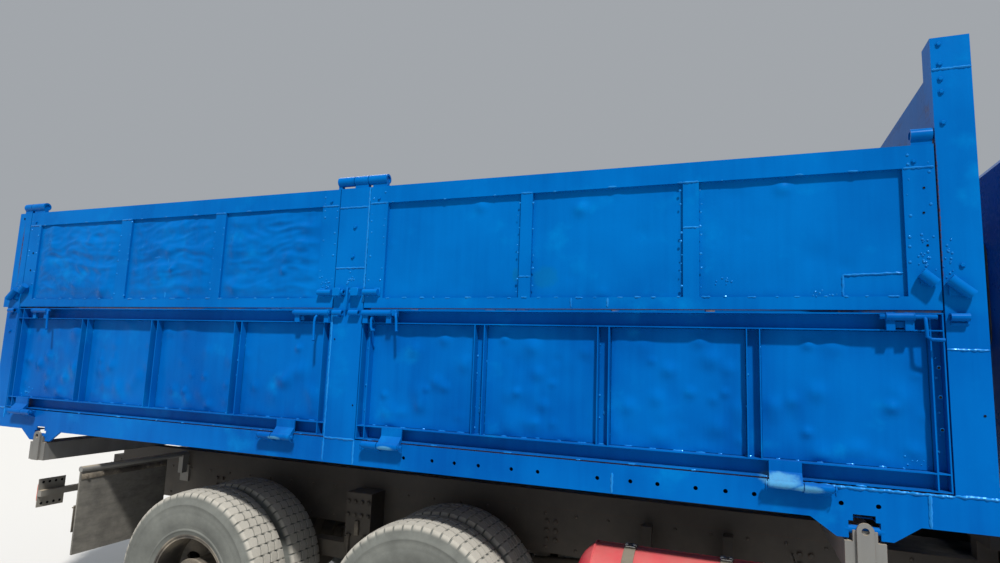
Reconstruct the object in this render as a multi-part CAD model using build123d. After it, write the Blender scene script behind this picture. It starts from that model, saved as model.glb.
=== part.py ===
from build123d import *
import os
from math import cos, radians, sin

# Three-axle farm tipper lorry with a bed that tips sideways. Its lower side boards hinge
# at the bottom, its raised side boards hinge at the top, and its end walls are fixed.
# Millimetres, +X forward, +Y left, +Z up, ground at Z = 0, origin under the middle.

# Bed: lengths along X are counted from the rear face of the bed
BED_LENGTH = 5610
BED_HALF_WIDTH = 1250
REAR_RIB_DEPTH = 50
SILL_Z = 1290
SILL_HEIGHT = 125
SILL_DEPTH = 65
SILL_WALL = 6
FLOOR_THICKNESS = 6
REAR_POST = 120
CENTRE_POST_SHARE = 0.482
CENTRE_POST = 186
FRONT_POST = 134
POST_DEPTH = 110
CENTRE_POST_DEPTH = 78
FRONT_POST_TOP = 1907
POST_TOP = 1468
WALL_SHEET = 6

# Side boards: heights are counted from the underside of the sill
BOARD_DEPTH = 50
SHEET = 5
BOARD_GAP = 6
LOWER_BOTTOM = 132
LOWER_TOP = 797
LOWER_RAIL = 70
LOWER_STILE = 47
UPPER_BOTTOM = 808
UPPER_TOP = 1467
UPPER_LOW_RAIL = 53
UPPER_TOP_RAIL = 93
UPPER_RECESS = 25
UPPER_SHEET = 6
UPPER_STILE = 110

# Ribs of each board: share of the board's length at the rib's middle, and the rib's width
LOWER_RIBS = {
    "rear": ((0.2582, 56), (0.4973, 56), (0.7519, 56)),
    "front": ((0.2599, 56), (0.4961, 56), (0.7397, 56)),
}
UPPER_RIBS = {
    "rear": ((0.3659, 94), (0.6715, 77)),
    "front": ((0.3462, 60), (0.6441, 68)),
}

# Hinges at the foot of the lower boards, counted from the board's nearer end:
# leaf start and end, then start and end of the sill's knuckle
LOWER_HINGE_OUT = 35
LOWER_HINGE_Z = 113
HINGE_BARREL_R = 17
HINGE_PIN_R = 9
HINGE_PLAY = 0.5
KNUCKLE_GAP = 5
LEAF = 8
LOWER_HINGES = {
    "rear": (("start", 104, 224, 229, 304), ("end", 302, 183, 387, 307)),
    "front": (("start", 158, 274, 73, 153), ("end", 620, 500, 495, 400)),
}

# Hinges on top of the raised boards, and bolts
TOP_HINGE_Z = 1513
TOP_BARREL_R = 27
TOP_PIN_R = 16
TOP_KNUCKLE_REAR = (30, 108, 232)
TOP_KNUCKLE_CENTRE = (-29, 75, 169, 281)
TOP_KNUCKLE_FRONT = 80
TOP_PIN_IN_POST = 20
TOP_SADDLE = 28
TOP_NECK = 24
BOLT_Z = 780
BOLT_TUBE_R = 15
BOLT_TUBE_BORE = 10
CATCH_LENGTH = 60
CATCH_INSET = 12
CATCH_STAND = 32
CATCH_FOOT = 30
UPPER_CATCH_Z = 890
UPPER_BOLT_LENGTH = 88
UPPER_BOLT_GAP = 2

# Tilted stub barrels at the outer ends of the raised boards: distance from the joint between
# board and post and height, at the upper and the lower end
TILT_BOARD = ((75, 950), (30, 907))
TILT_POST = ((14, 924), (84, 862))
TILT_R = 21
TILT_STAND = 26
TILT_PAD = 12

# Sliding bolts on the lower boards, counted from the board's nearer end
LOWER_BOLTS = {
    "rear": (("start", 174, 314), ("end", 230, 8)),
    "front": (("start", 8, 180), ("end", 192, 99)),
}

# Bed: floor, bearers, rails and the hoist's cup
BEARER_WIDTH = 70
BEARER_HEIGHT = 94
BEARER_COUNT = 10
BEARER_INSET = (330, 140)
BED_RAIL_Y = 380
BED_RAIL_WIDTH = 80
BED_RAIL_HEIGHT = 70
CUP_R = 105
CUP_WALL = 8
CUP_DEPTH = 30
SILL_HOLE_R = 9
SILL_HOLE_Z = 60
SILL_HOLE_SHARES = (
    0.108, 0.166, 0.210, 0.256, 0.317, 0.364, 0.465, 0.518, 0.560, 0.617, 0.660, 0.700, 0.814, 0.860,
)

# End walls of the bed: height of the horizontal ribs above the sill's underside
FRONT_WALL_RIBS = (125, 470, 804, 1140, 1440, 1837)
REAR_WALL_RIBS = (125, 465, 804, 1398)
WALL_RIB = 70
WALL_RIB_DEPTH = 44
FRONT_WALL_UPRIGHTS = (-620, 0, 620)
REAR_WALL_UPRIGHTS = (-560, 0, 560)
WALL_FOOT = 20

# Pivots that the bed tips on
PIVOT_REAR = 500
PIVOT_FRONT = BED_LENGTH - 430
PIVOT_DROP = 33
PIVOT_INSET = 14
PIVOT_PIN_R = 15
PIVOT_PLAY = 0.5
CHEEK_HALF_GAP = 54
CHEEK = 12
CHEEK_DEPTH = 22
GUSSET = 12
GUSSET_TOP_HALF = 185
GUSSET_FOOT_HALF = 95
GUSSET_DROP = 64
BEAM_DROP = 74
BEAM_WIDTH = 140
BEAM_HEIGHT = 110
BEAM_OVERHANG = 6
SADDLE_HALF = 27
SADDLE_GAP = 12
LUG = 12
LUG_R = 30
LUG_HOLE_R = 13
LUG_CLEAR = 8

# Cab
CAB_REAR = BED_LENGTH + 240
CAB_LENGTH = 1540
CAB_HALF_WIDTH = 1200
CAB_FLOOR = 920
CAB_ROOF = 2900
CAB_WALL = 40
CAB_ROUND = 60
CAB_EDGE = 90
CAB_BROW = 130
ROOF_SET_BACK = 420
SCREEN_STEP = 60
SCREEN_CUT = 360
TUNNEL_NOSE = 20
ARCH_R = 610
TUNNEL_HALF = 480
TUNNEL_TOP = 1370
CAB_FRONT = CAB_REAR + CAB_LENGTH
CAB_PIVOT_X = CAB_FRONT - 40
CAB_PIVOT_Z = 880
CAB_EAR_Y = 330
CAB_EAR = 30
CAB_PIN_R = 18
CAB_EAR_REACH = 24
CAB_LUG_R = 35
CAB_LUG_GAP = 8
CAB_LUG_REACH = 45
SCREEN_FOOT = CAB_ROOF - 1000
SCREEN = ((CAB_ROOF - 890, CAB_ROOF - 210), 1090)
SIDE_GLASS = ((CAB_REAR + 80, CAB_REAR + 300), (CAB_ROOF - 890, CAB_ROOF - 340))
REAR_GLASS = (520, (CAB_ROOF - 890, CAB_ROOF - 420))
DOOR_FRONT = CAB_FRONT - 270
DOOR_REAR = CAB_REAR + 390
DOOR_GAP = 6
DOOR_SILL = 60
DOOR_HEAD = 150
DOOR_BEND = CAB_ROOF - 950
DOOR_HINGE_OUT = 22
DOOR_PIN_R = 7
DOOR_BARREL_R = 14
DOOR_KNUCKLE = 38
DOOR_HINGE_LEAF = 60
DOOR_HINGES = (CAB_FLOOR + 330, CAB_FLOOR + 830)
DOOR_FRAME = 70
DOOR_GLASS_Z = (CAB_ROOF - 970, CAB_ROOF - 240)
DOOR_RAKE = 190
HANDLE_Z = CAB_ROOF - 1260
HANDLE = (60, 140, 30)
GLASS = 8
GLASS_DEPTH = 20

# Front of the lorry
BUMPER_FRONT = CAB_FRONT + 60
BUMPER_DEPTH = 60
BUMPER_HALF = 1220
BUMPER_Z = (520, 830)
BRACKET_HEIGHT = 32
HEADLAMP_Y = (850, 1120)
HEADLAMP_Z = (610, 760)
HEADLAMP_SUNK = 10
LAMP_POCKET = 40
LENS_R = 60
STEP_REAR = CAB_REAR + 885
STEP_LENGTH = 445
STEP_Y = (980, 1200)
STEP_HEIGHTS = (430, 730)
STEP_PLATE = 25
STEP_SIDE = 8

# Chassis frame
FRAME_HALF_WIDTH = 432
FRAME_TOP = 1010
FRAME_HEIGHT = 250
FRAME_FLANGE = 80
FRAME_WALL = 8
FRAME_REAR = 150
FRAME_FRONT = CAB_FRONT - 190
SUBFRAME_REAR = 250
SUBFRAME_FRONT = BED_LENGTH - 250
HOIST_X = PIVOT_FRONT - 1230
HOIST_CROSSMEMBER = HOIST_X - 225
CROSSMEMBERS = (158, 1240, 2520, HOIST_CROSSMEMBER, PIVOT_FRONT - 130, FRAME_FRONT - 95)
CROSSMEMBER_WIDTH = 90
TOW_SPACING_Y = 160
TOW_SPACING_Z = 100
TOW_HOLE_R = 8.5
TOW_Z = 885

# Wheels
TYRE_R = 515
TYRE_WIDTH = 280
TYRE_BEAD_R = 262
TYRE_SHOULDER = 22
TWIN_SPACING = 310
REAR_AXLE_X = 1795
MIDDLE_AXLE_X = 3245
FRONT_AXLE_X = CAB_REAR + 235
OUTER_TYRE_Y = 1070
FRONT_WHEEL_Y = 1013
KINGPIN_Y = 880
RIM_WALL = 8
RIM_WIDTH = 224
RIM_LIP = 10
RIM_LIP_R = 280
DISC = 12
DISH_FLAT_R = 165
DISH_SEAT = 45
HAND_HOLES = 8
HAND_HOLE_R = 27
HAND_HOLE_CIRCLE = 205
HUB_PLAY = 0.3
BORE_PAST_STUB = 3
FRONT_HUB_R = 85
FRONT_HUB_IN = 975
FRONT_DISC_OUT = 88
HUB_CAP = 20
REAR_HUB_R = 125
REAR_DRUM_R = 200
REAR_DRUM_END = 735
REAR_HUB_START = 612

# Axles and springs
HOUSING_R = 75
BANJO_R = 205
BANJO_HALF = 190
NOSE_R = 90
NOSE_RISE = 40
REAR_HUB_IN = 590
REAR_STUB_R = 45
STUB_END_Y = 1150
SPRING_Y = 545
SPRING_WIDTH = 90
REAR_SPRING_LEAVES = 6
FRONT_SPRING_LEAVES = 4
LEAF_THICKNESS = 16
LEAF_STEP = 90
SPRING_OVERHANG = 60
SPRING_SADDLE = 90
SPRING_SADDLE_HEIGHT = 40
FRONT_SPRING_WIDTH = 75
FRONT_LEAF_HALF = 260
FRONT_LEAF_STEP = 130
FRONT_HANGER = 50
FRONT_BEAM_Z = 400
FRONT_BEAM_HEIGHT = 100
FRONT_BEAM_WIDTH = 90
FRONT_BEAM_RAMP = 150
FRONT_STUB_R = 35
FRONT_STUB_END = 1120
KINGPIN_R = 22
KNUCKLE_EYE_R = 42
KNUCKLE_EYE_HALF = 60
KNUCKLE_ARM = 40
KNUCKLE_ARM_GAP = 5
KNUCKLE_WEB_GAP = 6
KNUCKLE_WEB = 30
KNUCKLE_BOSS = 25
KNUCKLE_BOSS_LENGTH = 14

# Engine and shafts: reach along X, half width, reach in height
ENGINE = ((CAB_REAR + 100, CAB_FRONT - 390), 340, (640, 1320))
GEARBOX = ((BED_LENGTH - 310, CAB_REAR + 100), 190, (620, 960))
MOUNT_ARMS = (CAB_REAR + 300, CAB_FRONT - 590)
MOUNT_ARM = 80
MOUNT_ARM_Z = (860, 900)
SHAFT_R = 45
SHAFT_FLANGE = 10
SHAFT_STUB = 60
GEARBOX_OUT_Z = 690

# Tanks and boxes on the frame
GAS = (PIVOT_FRONT - 1150, PIVOT_FRONT - 260)
GAS_Y = 1050
GAS_Z = 825
GAS_R = 200
GAS_DOME = 85
GAS_NECK_R = 35
GAS_STRAPS = (GAS[0] + 220, GAS[0] + 630)
STRAP_WIDTH = 50
STRAP = 5
ARM = 22
ARM_DROP = 20
FUEL = ((PIVOT_FRONT - 1100, PIVOT_FRONT - 280), (530, 1150), (600, 1040))
FUEL_ROUND = 70
FUEL_INSET = 120
BATTERY = ((PIVOT_FRONT - 190, PIVOT_FRONT + 300), (560, 1120), (640, 960))
BATTERY_INSET = 90
BATTERY_LID = 6
BATTERY_LID_HEIGHT = 30

# Tail: mudflap, lamp plate and lamp
FLAP_X = 905
FLAP = 12
FLAP_Y = (610, 1240)
FLAP_Z = (570, 1062)
FLAP_BAR_R = 18
LAMP_PLATE = ((262, 268), (880, 1060), (741, 929))
LAMP_THICKNESS = 22
LAMP_ARM = 40

# Rest behind the cab
REST_DEPTH = 80
REST_Z = (1100, 1180)
REST_HALF = 600

# Inside the cab
SEAT_REAR = CAB_REAR + 230
SEAT_LENGTH = 480
SEAT_Y = (560, 1080)
SEAT_TOP = CAB_ROOF - 1340
SEAT_CUSHION = 120
SEAT_BACK = 640
SEAT_OVER = 35
DASH_DEPTH = 350
DASH_GAP = 50
DASH_HALF = 1120
DASH_Z = (CAB_ROOF - 1400, CAB_ROOF - 1040)
DASH_EDGE = 60
WHEEL_Y = 640
STEERING_R = 230
STEERING_GRIP_R = 13
COLUMN_R = 24
COLUMN = 230
COLUMN_LEAN = (-0.82, 0, 0.57)

# Mirrors
MIRROR_X = (CAB_FRONT - 120, CAB_FRONT - 90)
MIRROR_Y = (1300, 1480)
MIRROR_Z = (CAB_ROOF - 950, CAB_ROOF - 570)
MIRROR_ARM_R = 11
MIRROR_FOOT_Y = 1250
MIRROR_INSET = 40

# Hoist: radius, foot and head of the barrel, its two stages and the ram
HOIST_RADII = (95, 80, 65, 50)
HOIST_FEET = (715, 732, 749, 766)
HOIST_HEADS = (1110, 1130, 1150, 1195)
HOIST_BASE_Z = 760
HOIST_HEAD_Z = 1235
HOIST_BALL_R = 45
HOIST_BOTTOM = 14
TRUNNION_R = 22
TRUNNION_GAP = 6
EAR = 20
EAR_HALF = 60

# Values that follow from the sizes above
BED_REAR_X = -(BUMPER_FRONT + REAR_RIB_DEPTH) / 2 + REAR_RIB_DEPTH
PIVOT_Y = BED_HALF_WIDTH - PIVOT_INSET
PIVOT_Z = SILL_Z - PIVOT_DROP
BOARD_INNER = BED_HALF_WIDTH - BOARD_DEPTH
LOWER_HINGE_Y = BED_HALF_WIDTH + LOWER_HINGE_OUT
TOP_HINGE_Y = BED_HALF_WIDTH - BOARD_DEPTH / 2
BOLT_Y = BED_HALF_WIDTH + CATCH_STAND - BOLT_TUBE_R
BEAM_TOP = SILL_Z - BEAM_DROP
CENTRE_POST_START = BED_LENGTH * CENTRE_POST_SHARE
CENTRE_POST_END = CENTRE_POST_START + CENTRE_POST
FRONT_POST_START = BED_LENGTH - FRONT_POST
REAR_BOARD = (REAR_POST + BOARD_GAP, CENTRE_POST_START - BOARD_GAP)
FRONT_BOARD = (CENTRE_POST_END + BOARD_GAP, FRONT_POST_START - BOARD_GAP)
INNER_TYRE_Y = OUTER_TYRE_Y - TWIN_SPACING
AXLE_Z = TYRE_R


def bx(distance):
    """X of a place counted forward from the rear face of the bed."""
    return BED_REAR_X + distance


def bz(height):
    """Z of a place counted up from the underside of the sill."""
    return SILL_Z + height


def block(x, y, z):
    """Rectangular solid between a low and a high limit on each axis."""
    spans = (x, y, z)
    middle = [(low + high) / 2 for low, high in spans]
    size = [high - low for low, high in spans]
    return Pos(*middle) * Box(*size)


def prism_x(outline, x0, x1):
    """Solid with a (y, z) outline from x0 to x1."""
    upright = Plane(origin=(x0, 0, 0), x_dir=(0, 1, 0), z_dir=(1, 0, 0))
    face = upright * make_face(Polyline(*outline, close=True))
    return extrude(face, x1 - x0)


def prism_y(outline, y0, y1):
    """Solid with an (x, z) outline from y0 to y1."""
    upright = Plane(origin=(0, y1, 0), x_dir=(1, 0, 0), z_dir=(0, -1, 0))
    face = upright * make_face(Polyline(*outline, close=True))
    return extrude(face, y1 - y0)


def rod(start, end, radius):
    """Round bar between two points."""
    way = Vector(*end) - Vector(*start)
    place = Plane(origin=start, z_dir=way)
    return place * Cylinder(radius, way.length, align=(Align.CENTER, Align.CENTER, Align.MIN))


def tube(start, end, radius, bore):
    """Round tube between two points."""
    way = Vector(*end) - Vector(*start)
    past = way.normalized()
    inner = rod(Vector(*start) - past, Vector(*end) + past, bore)
    return rod(start, end, radius) - inner


def rod_x(x0, x1, y, z, radius):
    """Round bar along X."""
    return rod((x0, y, z), (x1, y, z), radius)


def tube_x(x0, x1, y, z, radius, bore):
    """Round tube along X."""
    return tube((x0, y, z), (x1, y, z), radius, bore)


def rod_y(x, y0, y1, z, radius):
    """Round bar along Y."""
    return rod((x, y0, z), (x, y1, z), radius)


def joined(pieces):
    """One solid from pieces that touch or overlap."""
    whole = pieces[0]
    for piece in pieces[1:]:
        whole = whole + piece
    return whole


def apart(pieces):
    """Solids that share a node and don't touch."""
    solids = []
    for piece in pieces:
        solids.extend(piece.solids())
    return Compound(children=solids)


def other_side(piece):
    """Mirror image on the right-hand side of the lorry."""
    return mirror(piece, about=Plane.XZ)


# Bed: floor, sills, posts and end walls

# Cross bearers under the floor: distance from the rear of the bed


def board_ends(end):
    """X of the two ends of a side board."""
    return [bx(distance) for distance in (REAR_BOARD if end == "rear" else FRONT_BOARD)]


def from_end(end, near, distances):
    """Places along a board, counted from its start or its end."""
    start, finish = board_ends(end)
    if near == "start":
        return [start + distance for distance in distances]
    return [finish - distance for distance in distances]


def lower_hinges(end):
    """Reach along X of each leaf and of each knuckle on the sill."""
    hinges = []
    for near, *distances in LOWER_HINGES[end]:
        leaf_start, leaf_end, start, finish = from_end(end, near, distances)
        hinges.append(((leaf_start, leaf_end), (start, finish)))
    return hinges


def channel_bar(x0, x1, y, z, wall):
    """Channel along X, open towards the middle of the lorry."""
    y0, y1 = y
    z0, z1 = z
    outline = [
        (y0, z0), (y1, z0), (y1, z1), (y0, z1),
        (y0, z1 - wall), (y1 - wall, z1 - wall), (y1 - wall, z0 + wall), (y0, z0 + wall),
    ]
    return prism_x(outline, x0, x1)


def bed_floor():
    """Floor plate notched round the posts, cross bearers, two rails and the hoist's cup."""
    edge = BED_HALF_WIDTH - SILL_DEPTH
    top = bz(SILL_HEIGHT)
    under = top - FLOOR_THICKNESS
    rail_top = under - BEARER_HEIGHT
    ends = (bx(WALL_SHEET), bx(BED_LENGTH - WALL_RIB_DEPTH - WALL_SHEET))
    plate = block(ends, (-edge, edge), (under, top))
    notches = (
        (0, REAR_POST, POST_DEPTH),
        (CENTRE_POST_START, CENTRE_POST_END, CENTRE_POST_DEPTH),
        (FRONT_POST_START, BED_LENGTH, POST_DEPTH),
    )
    for start, finish, depth in notches:
        for side in (-1, 1):
            y = sorted((side * (BED_HALF_WIDTH - depth), side * (edge + 1)))
            plate = plate - block((bx(start), bx(finish)), y, (under - 1, top + 1))
    pieces = [plate]
    first, last = BEARER_INSET
    pitch = (BED_LENGTH - first - last) / (BEARER_COUNT - 1)
    for number in range(BEARER_COUNT):
        middle = bx(first + number * pitch)
        x = (middle - BEARER_WIDTH / 2, middle + BEARER_WIDTH / 2)
        pieces.append(block(x, (-edge, edge), (rail_top, under)))
    for side in (-1, 1):
        y = sorted((side * BED_RAIL_Y, side * (BED_RAIL_Y + BED_RAIL_WIDTH)))
        x = (bx(SUBFRAME_REAR), bx(SUBFRAME_FRONT))
        pieces.append(block(x, y, (rail_top - BED_RAIL_HEIGHT, rail_top)))
    pieces.append(hoist_cup(rail_top))
    return pieces


def hoist_cup(rail_top):
    """Shallow ring that the hoist's ball pushes up into, on a bridge between the bed's rails."""
    x = bx(HOIST_X)
    roof = HOIST_HEAD_Z + HOIST_BALL_R + HUB_PLAY
    rim_r = CUP_R + CUP_WALL
    ring = tube((x, 0, roof - CUP_DEPTH), (x, 0, roof + 1), rim_r, CUP_R)
    bridge = block((x - rim_r, x + rim_r), (-BED_RAIL_Y, BED_RAIL_Y), (roof, rail_top))
    return ring + bridge


def bed_sill():
    """Left sill: holed channel with hinge knuckles and the two tipping pins."""
    top = SILL_HEIGHT
    y = (BED_HALF_WIDTH - SILL_DEPTH, BED_HALF_WIDTH)
    sill = channel_bar(bx(0), bx(BED_LENGTH), y, (bz(0), bz(top)), SILL_WALL)
    holes = []
    for share in SILL_HOLE_SHARES:
        hole = CENTRE_POST_END + share * (BED_LENGTH - CENTRE_POST_END)
        holes.append(rod_y(bx(hole), y[1] - 2 * SILL_WALL, y[1] + 1, bz(SILL_HOLE_Z), SILL_HOLE_R))
    sill = sill - holes
    notch_half = LUG_R + LUG_CLEAR
    for pivot in (PIVOT_REAR, PIVOT_FRONT):
        x = (bx(pivot) - notch_half, bx(pivot) + notch_half)
        sill = sill - block(x, (y[0] + SILL_WALL, y[1] + 1), (bz(-1), bz(LUG_R - SILL_WALL)))
        sill = sill + pivot_bracket(bx(pivot))
    for end in ("rear", "front"):
        for leaf, knuckle in lower_hinges(end):
            sill = sill + sill_knuckle(leaf, knuckle)
    return sill


def pivot_bracket(x):
    """Gusset under the sill, two cheeks, and the pin that rests in the saddle."""
    outer = BED_HALF_WIDTH
    pieces = []
    for side in (-1, 1):
        inner_edge = x + side * CHEEK_HALF_GAP
        outline = [
            (inner_edge, bz(0)),
            (x + side * GUSSET_TOP_HALF, bz(0)),
            (x + side * GUSSET_FOOT_HALF, bz(-GUSSET_DROP)),
            (inner_edge, bz(-GUSSET_DROP)),
        ]
        pieces.append(prism_y(outline, outer - GUSSET, outer))
        cheek_x = sorted((inner_edge, inner_edge + side * CHEEK))
        pieces.append(block(cheek_x, (PIVOT_Y - CHEEK_DEPTH, outer), (bz(-GUSSET_DROP), bz(0))))
    reach = CHEEK_HALF_GAP + CHEEK
    pieces.append(rod_x(x - reach, x + reach, PIVOT_Y, PIVOT_Z, PIVOT_PIN_R))
    return joined(pieces)


def sill_knuckle(leaf, knuckle):
    """Fixed knuckle of a lower hinge with its bracket, and the pin it holds."""
    z = bz(LOWER_HINGE_Z)
    start, end = knuckle
    barrel = rod_x(start, end, LOWER_HINGE_Y, z, HINGE_BARREL_R)
    outline = [
        (BED_HALF_WIDTH, z - 2 * HINGE_BARREL_R),
        (LOWER_HINGE_Y, z - HINGE_BARREL_R),
        (LOWER_HINGE_Y, z),
        (BED_HALF_WIDTH, z + HINGE_BARREL_R - KNUCKLE_GAP),
    ]
    bracket = prism_x(outline, start, end)
    pin = rod_x(min(leaf[0], start), max(leaf[1], end), LOWER_HINGE_Y, z, HINGE_PIN_R)
    return barrel + bracket + pin


def bed_posts():
    """Corner and centre posts of the left side with what the boards hang on."""
    outer = BED_HALF_WIDTH
    foot = bz(SILL_HEIGHT)
    rear = block((bx(0), bx(REAR_POST)), (outer - POST_DEPTH, outer), (foot, bz(POST_TOP)))
    centre = block(
        (bx(CENTRE_POST_START), bx(CENTRE_POST_END)),
        (outer - CENTRE_POST_DEPTH, outer),
        (foot, bz(POST_TOP)),
    )
    front_x = (bx(FRONT_POST_START), bx(BED_LENGTH))
    front = block(front_x, (outer - POST_DEPTH, outer), (foot, bz(FRONT_POST_TOP)))
    for pin_start, pin_end, rest in post_pins():
        pin = rod_x(bx(pin_start), bx(pin_end), TOP_HINGE_Y, bz(TOP_HINGE_Z), TOP_PIN_R)
        if rest is None:
            front = front + pin
            continue
        start, end = rest
        barrel = rod_x(bx(start), bx(end), TOP_HINGE_Y, bz(TOP_HINGE_Z), TOP_BARREL_R)
        saddle_y = (TOP_HINGE_Y - TOP_SADDLE / 2, TOP_HINGE_Y + TOP_SADDLE / 2)
        saddle = block((bx(start), bx(end)), saddle_y, (bz(POST_TOP), bz(TOP_HINGE_Z)))
        if start < CENTRE_POST_START:
            rear = rear + [pin, barrel, saddle]
        else:
            centre = centre + [pin, barrel, saddle]
    rear = rear + post_catch(bx(REAR_POST), -1, BOLT_Z) + tilted_stub(bx(REAR_POST), -1, TILT_POST)
    for edge, way in ((CENTRE_POST_START, 1), (CENTRE_POST_END, -1)):
        for height in (BOLT_Z, UPPER_CATCH_Z):
            centre = centre + post_catch(bx(edge), way, height)
    front = front + post_catch(front_x[0], 1, BOLT_Z) + tilted_stub(front_x[0], 1, TILT_POST)
    return [rear, centre, front]


def top_centre():
    """Edges of the four knuckles at the centre post, from rear to front."""
    return [CENTRE_POST_START + distance for distance in TOP_KNUCKLE_CENTRE]


def post_pins():
    """Top hinge pins on the posts: start, end, and the knuckle that carries them."""
    rear_start, rear_end, board_end = TOP_KNUCKLE_REAR
    board_rear, centre_start, centre_end, board_front = top_centre()
    return [
        (rear_start, board_end - KNUCKLE_GAP, (rear_start, rear_end - KNUCKLE_GAP)),
        (board_rear + 5, board_front - 5, (centre_start + KNUCKLE_GAP, centre_end - KNUCKLE_GAP)),
        (FRONT_POST_START - TOP_KNUCKLE_FRONT + 5, FRONT_POST_START + TOP_PIN_IN_POST, None),
    ]


def post_catch(x, way, height):
    """Short sleeve on a post that a board's bolt goes into."""
    start = x + way * CATCH_INSET
    end = start + way * CATCH_LENGTH
    z = bz(height)
    sleeve = tube((min(start, end), BOLT_Y, z), (max(start, end), BOLT_Y, z), BOLT_TUBE_R, BOLT_TUBE_BORE)
    foot_y = (BED_HALF_WIDTH, BOLT_Y - BOLT_TUBE_BORE - 1)
    return sleeve + block(sorted((start, end)), foot_y, (z - BOLT_TUBE_R, z + BOLT_TUBE_R))


def tilted_stub(joint, way, run):
    """Stub barrel that slopes down away from the board, on a pad."""
    (near, high), (far, low) = run
    y = BED_HALF_WIDTH + TILT_STAND
    barrel = rod((joint + way * near, y, bz(high)), (joint + way * far, y, bz(low)), TILT_R)
    pad_x = sorted((joint + way * min(near, far), joint + way * max(near, far)))
    pad = block(pad_x, (BED_HALF_WIDTH, BED_HALF_WIDTH + TILT_PAD), (bz(low), bz(high)))
    return barrel + pad


def end_wall(x_sheet, x_rib, top, ribs, uprights):
    """Sheet between two corner posts with outward channel ribs and a foot beam under it."""
    edge = BED_HALF_WIDTH - POST_DEPTH
    between = BED_HALF_WIDTH - SILL_DEPTH
    foot = bz(SILL_HEIGHT)
    whole_x = (min(x_sheet, x_rib[0]), max(x_sheet + WALL_SHEET, x_rib[1]))
    pieces = [block((x_sheet, x_sheet + WALL_SHEET), (-edge, edge), (foot, top))]
    pieces.append(block(whole_x, (-between, between), (bz(WALL_FOOT), foot)))
    for height in ribs:
        pieces.append(block(x_rib, (-edge, edge), (bz(height), bz(height) + WALL_RIB)))
    for y in uprights:
        pieces.append(block(x_rib, (y - WALL_RIB / 2, y + WALL_RIB / 2), (foot, top)))
    return joined(pieces)


def front_wall():
    """Tall fixed wall behind the cab."""
    x_rib = (bx(BED_LENGTH - WALL_RIB_DEPTH), bx(BED_LENGTH))
    return end_wall(x_rib[0] - WALL_SHEET, x_rib, bz(FRONT_POST_TOP), FRONT_WALL_RIBS, FRONT_WALL_UPRIGHTS)


def rear_wall():
    """Fixed wall at the tail, as high as the boards."""
    x_rib = (bx(-REAR_RIB_DEPTH), bx(0))
    wall = end_wall(x_rib[1], x_rib, bz(POST_TOP), REAR_WALL_RIBS, REAR_WALL_UPRIGHTS)
    edge = BED_HALF_WIDTH
    cap = block(x_rib, (-edge, edge), (bz(REAR_WALL_RIBS[2]), bz(REAR_WALL_RIBS[2]) + WALL_RIB))
    return wall + cap


# Side boards


def lower_board(end):
    """Left lower side board: rails folded from the sheet, channel ribs, leaves and bolts."""
    x0, x1 = board_ends(end)
    inner = BOARD_INNER
    outer = BED_HALF_WIDTH
    low = bz(LOWER_BOTTOM)
    high = bz(LOWER_TOP)
    web = inner + SHEET
    low_rail = low + LOWER_RAIL
    high_rail = high - LOWER_RAIL
    outline = [
        (inner, low), (outer, low), (outer, low + SHEET), (web, low + SHEET),
        (web, low_rail - SHEET), (outer, low_rail - SHEET), (outer, low_rail), (web, low_rail),
        (web, high_rail), (outer, high_rail), (outer, high_rail + SHEET), (web, high_rail + SHEET),
        (web, high - SHEET), (outer, high - SHEET), (outer, high), (inner, high),
    ]
    pieces = [prism_x(outline, x0, x1)]
    rib_z = (low_rail - SHEET, high_rail + SHEET)
    for share, width in LOWER_RIBS[end]:
        middle = x0 + share * (x1 - x0)
        for edge in (middle - width / 2, middle + width / 2 - SHEET):
            pieces.append(block((edge, edge + SHEET), (inner, outer), rib_z))
    for edge in (x0, x0 + LOWER_STILE, x1 - LOWER_STILE, x1 - SHEET):
        pieces.append(block((edge, edge + SHEET), (inner, outer), (low, high)))
    for leaf, _ in lower_hinges(end):
        pieces.append(board_knuckle(*leaf))
    for near, *distances in LOWER_BOLTS[end]:
        pieces.append(sliding_bolt(*from_end(end, near, distances)))
    return joined(pieces)


def board_knuckle(start, end):
    """Moving knuckle of a lower hinge and the leaf that carries it."""
    z = bz(LOWER_HINGE_Z)
    bore = HINGE_PIN_R + HINGE_PLAY
    outline = [
        (BED_HALF_WIDTH, bz(LOWER_BOTTOM)),
        (BED_HALF_WIDTH + LEAF, bz(LOWER_BOTTOM)),
        (LOWER_HINGE_Y - HINGE_BARREL_R, z + 4),
        (LOWER_HINGE_Y, z + 4),
        (LOWER_HINGE_Y, z + HINGE_BARREL_R),
        (BED_HALF_WIDTH + LEAF, bz(LOWER_BOTTOM + LOWER_RAIL * 0.4)),
        (BED_HALF_WIDTH + LEAF, bz(LOWER_BOTTOM + LOWER_RAIL)),
        (BED_HALF_WIDTH, bz(LOWER_BOTTOM + LOWER_RAIL)),
    ]
    solid = prism_x(outline, start, end) + rod_x(start, end, LOWER_HINGE_Y, z, HINGE_BARREL_R)
    return solid - rod_x(start - 1, end + 1, LOWER_HINGE_Y, z, bore)


def sliding_bolt(start, end):
    """Guide tube on two feet with the drawn-back bolt inside it."""
    z = bz(BOLT_Z)
    pieces = [rod_x(start, end, BOLT_Y, z, BOLT_TUBE_R)]
    foot_z = (bz(LOWER_TOP - LOWER_RAIL), bz(LOWER_TOP))
    for foot in (start, end - CATCH_FOOT):
        pieces.append(block((foot, foot + CATCH_FOOT), (BED_HALF_WIDTH, BOLT_Y - HUB_PLAY), foot_z))
    return joined(pieces)


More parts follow.
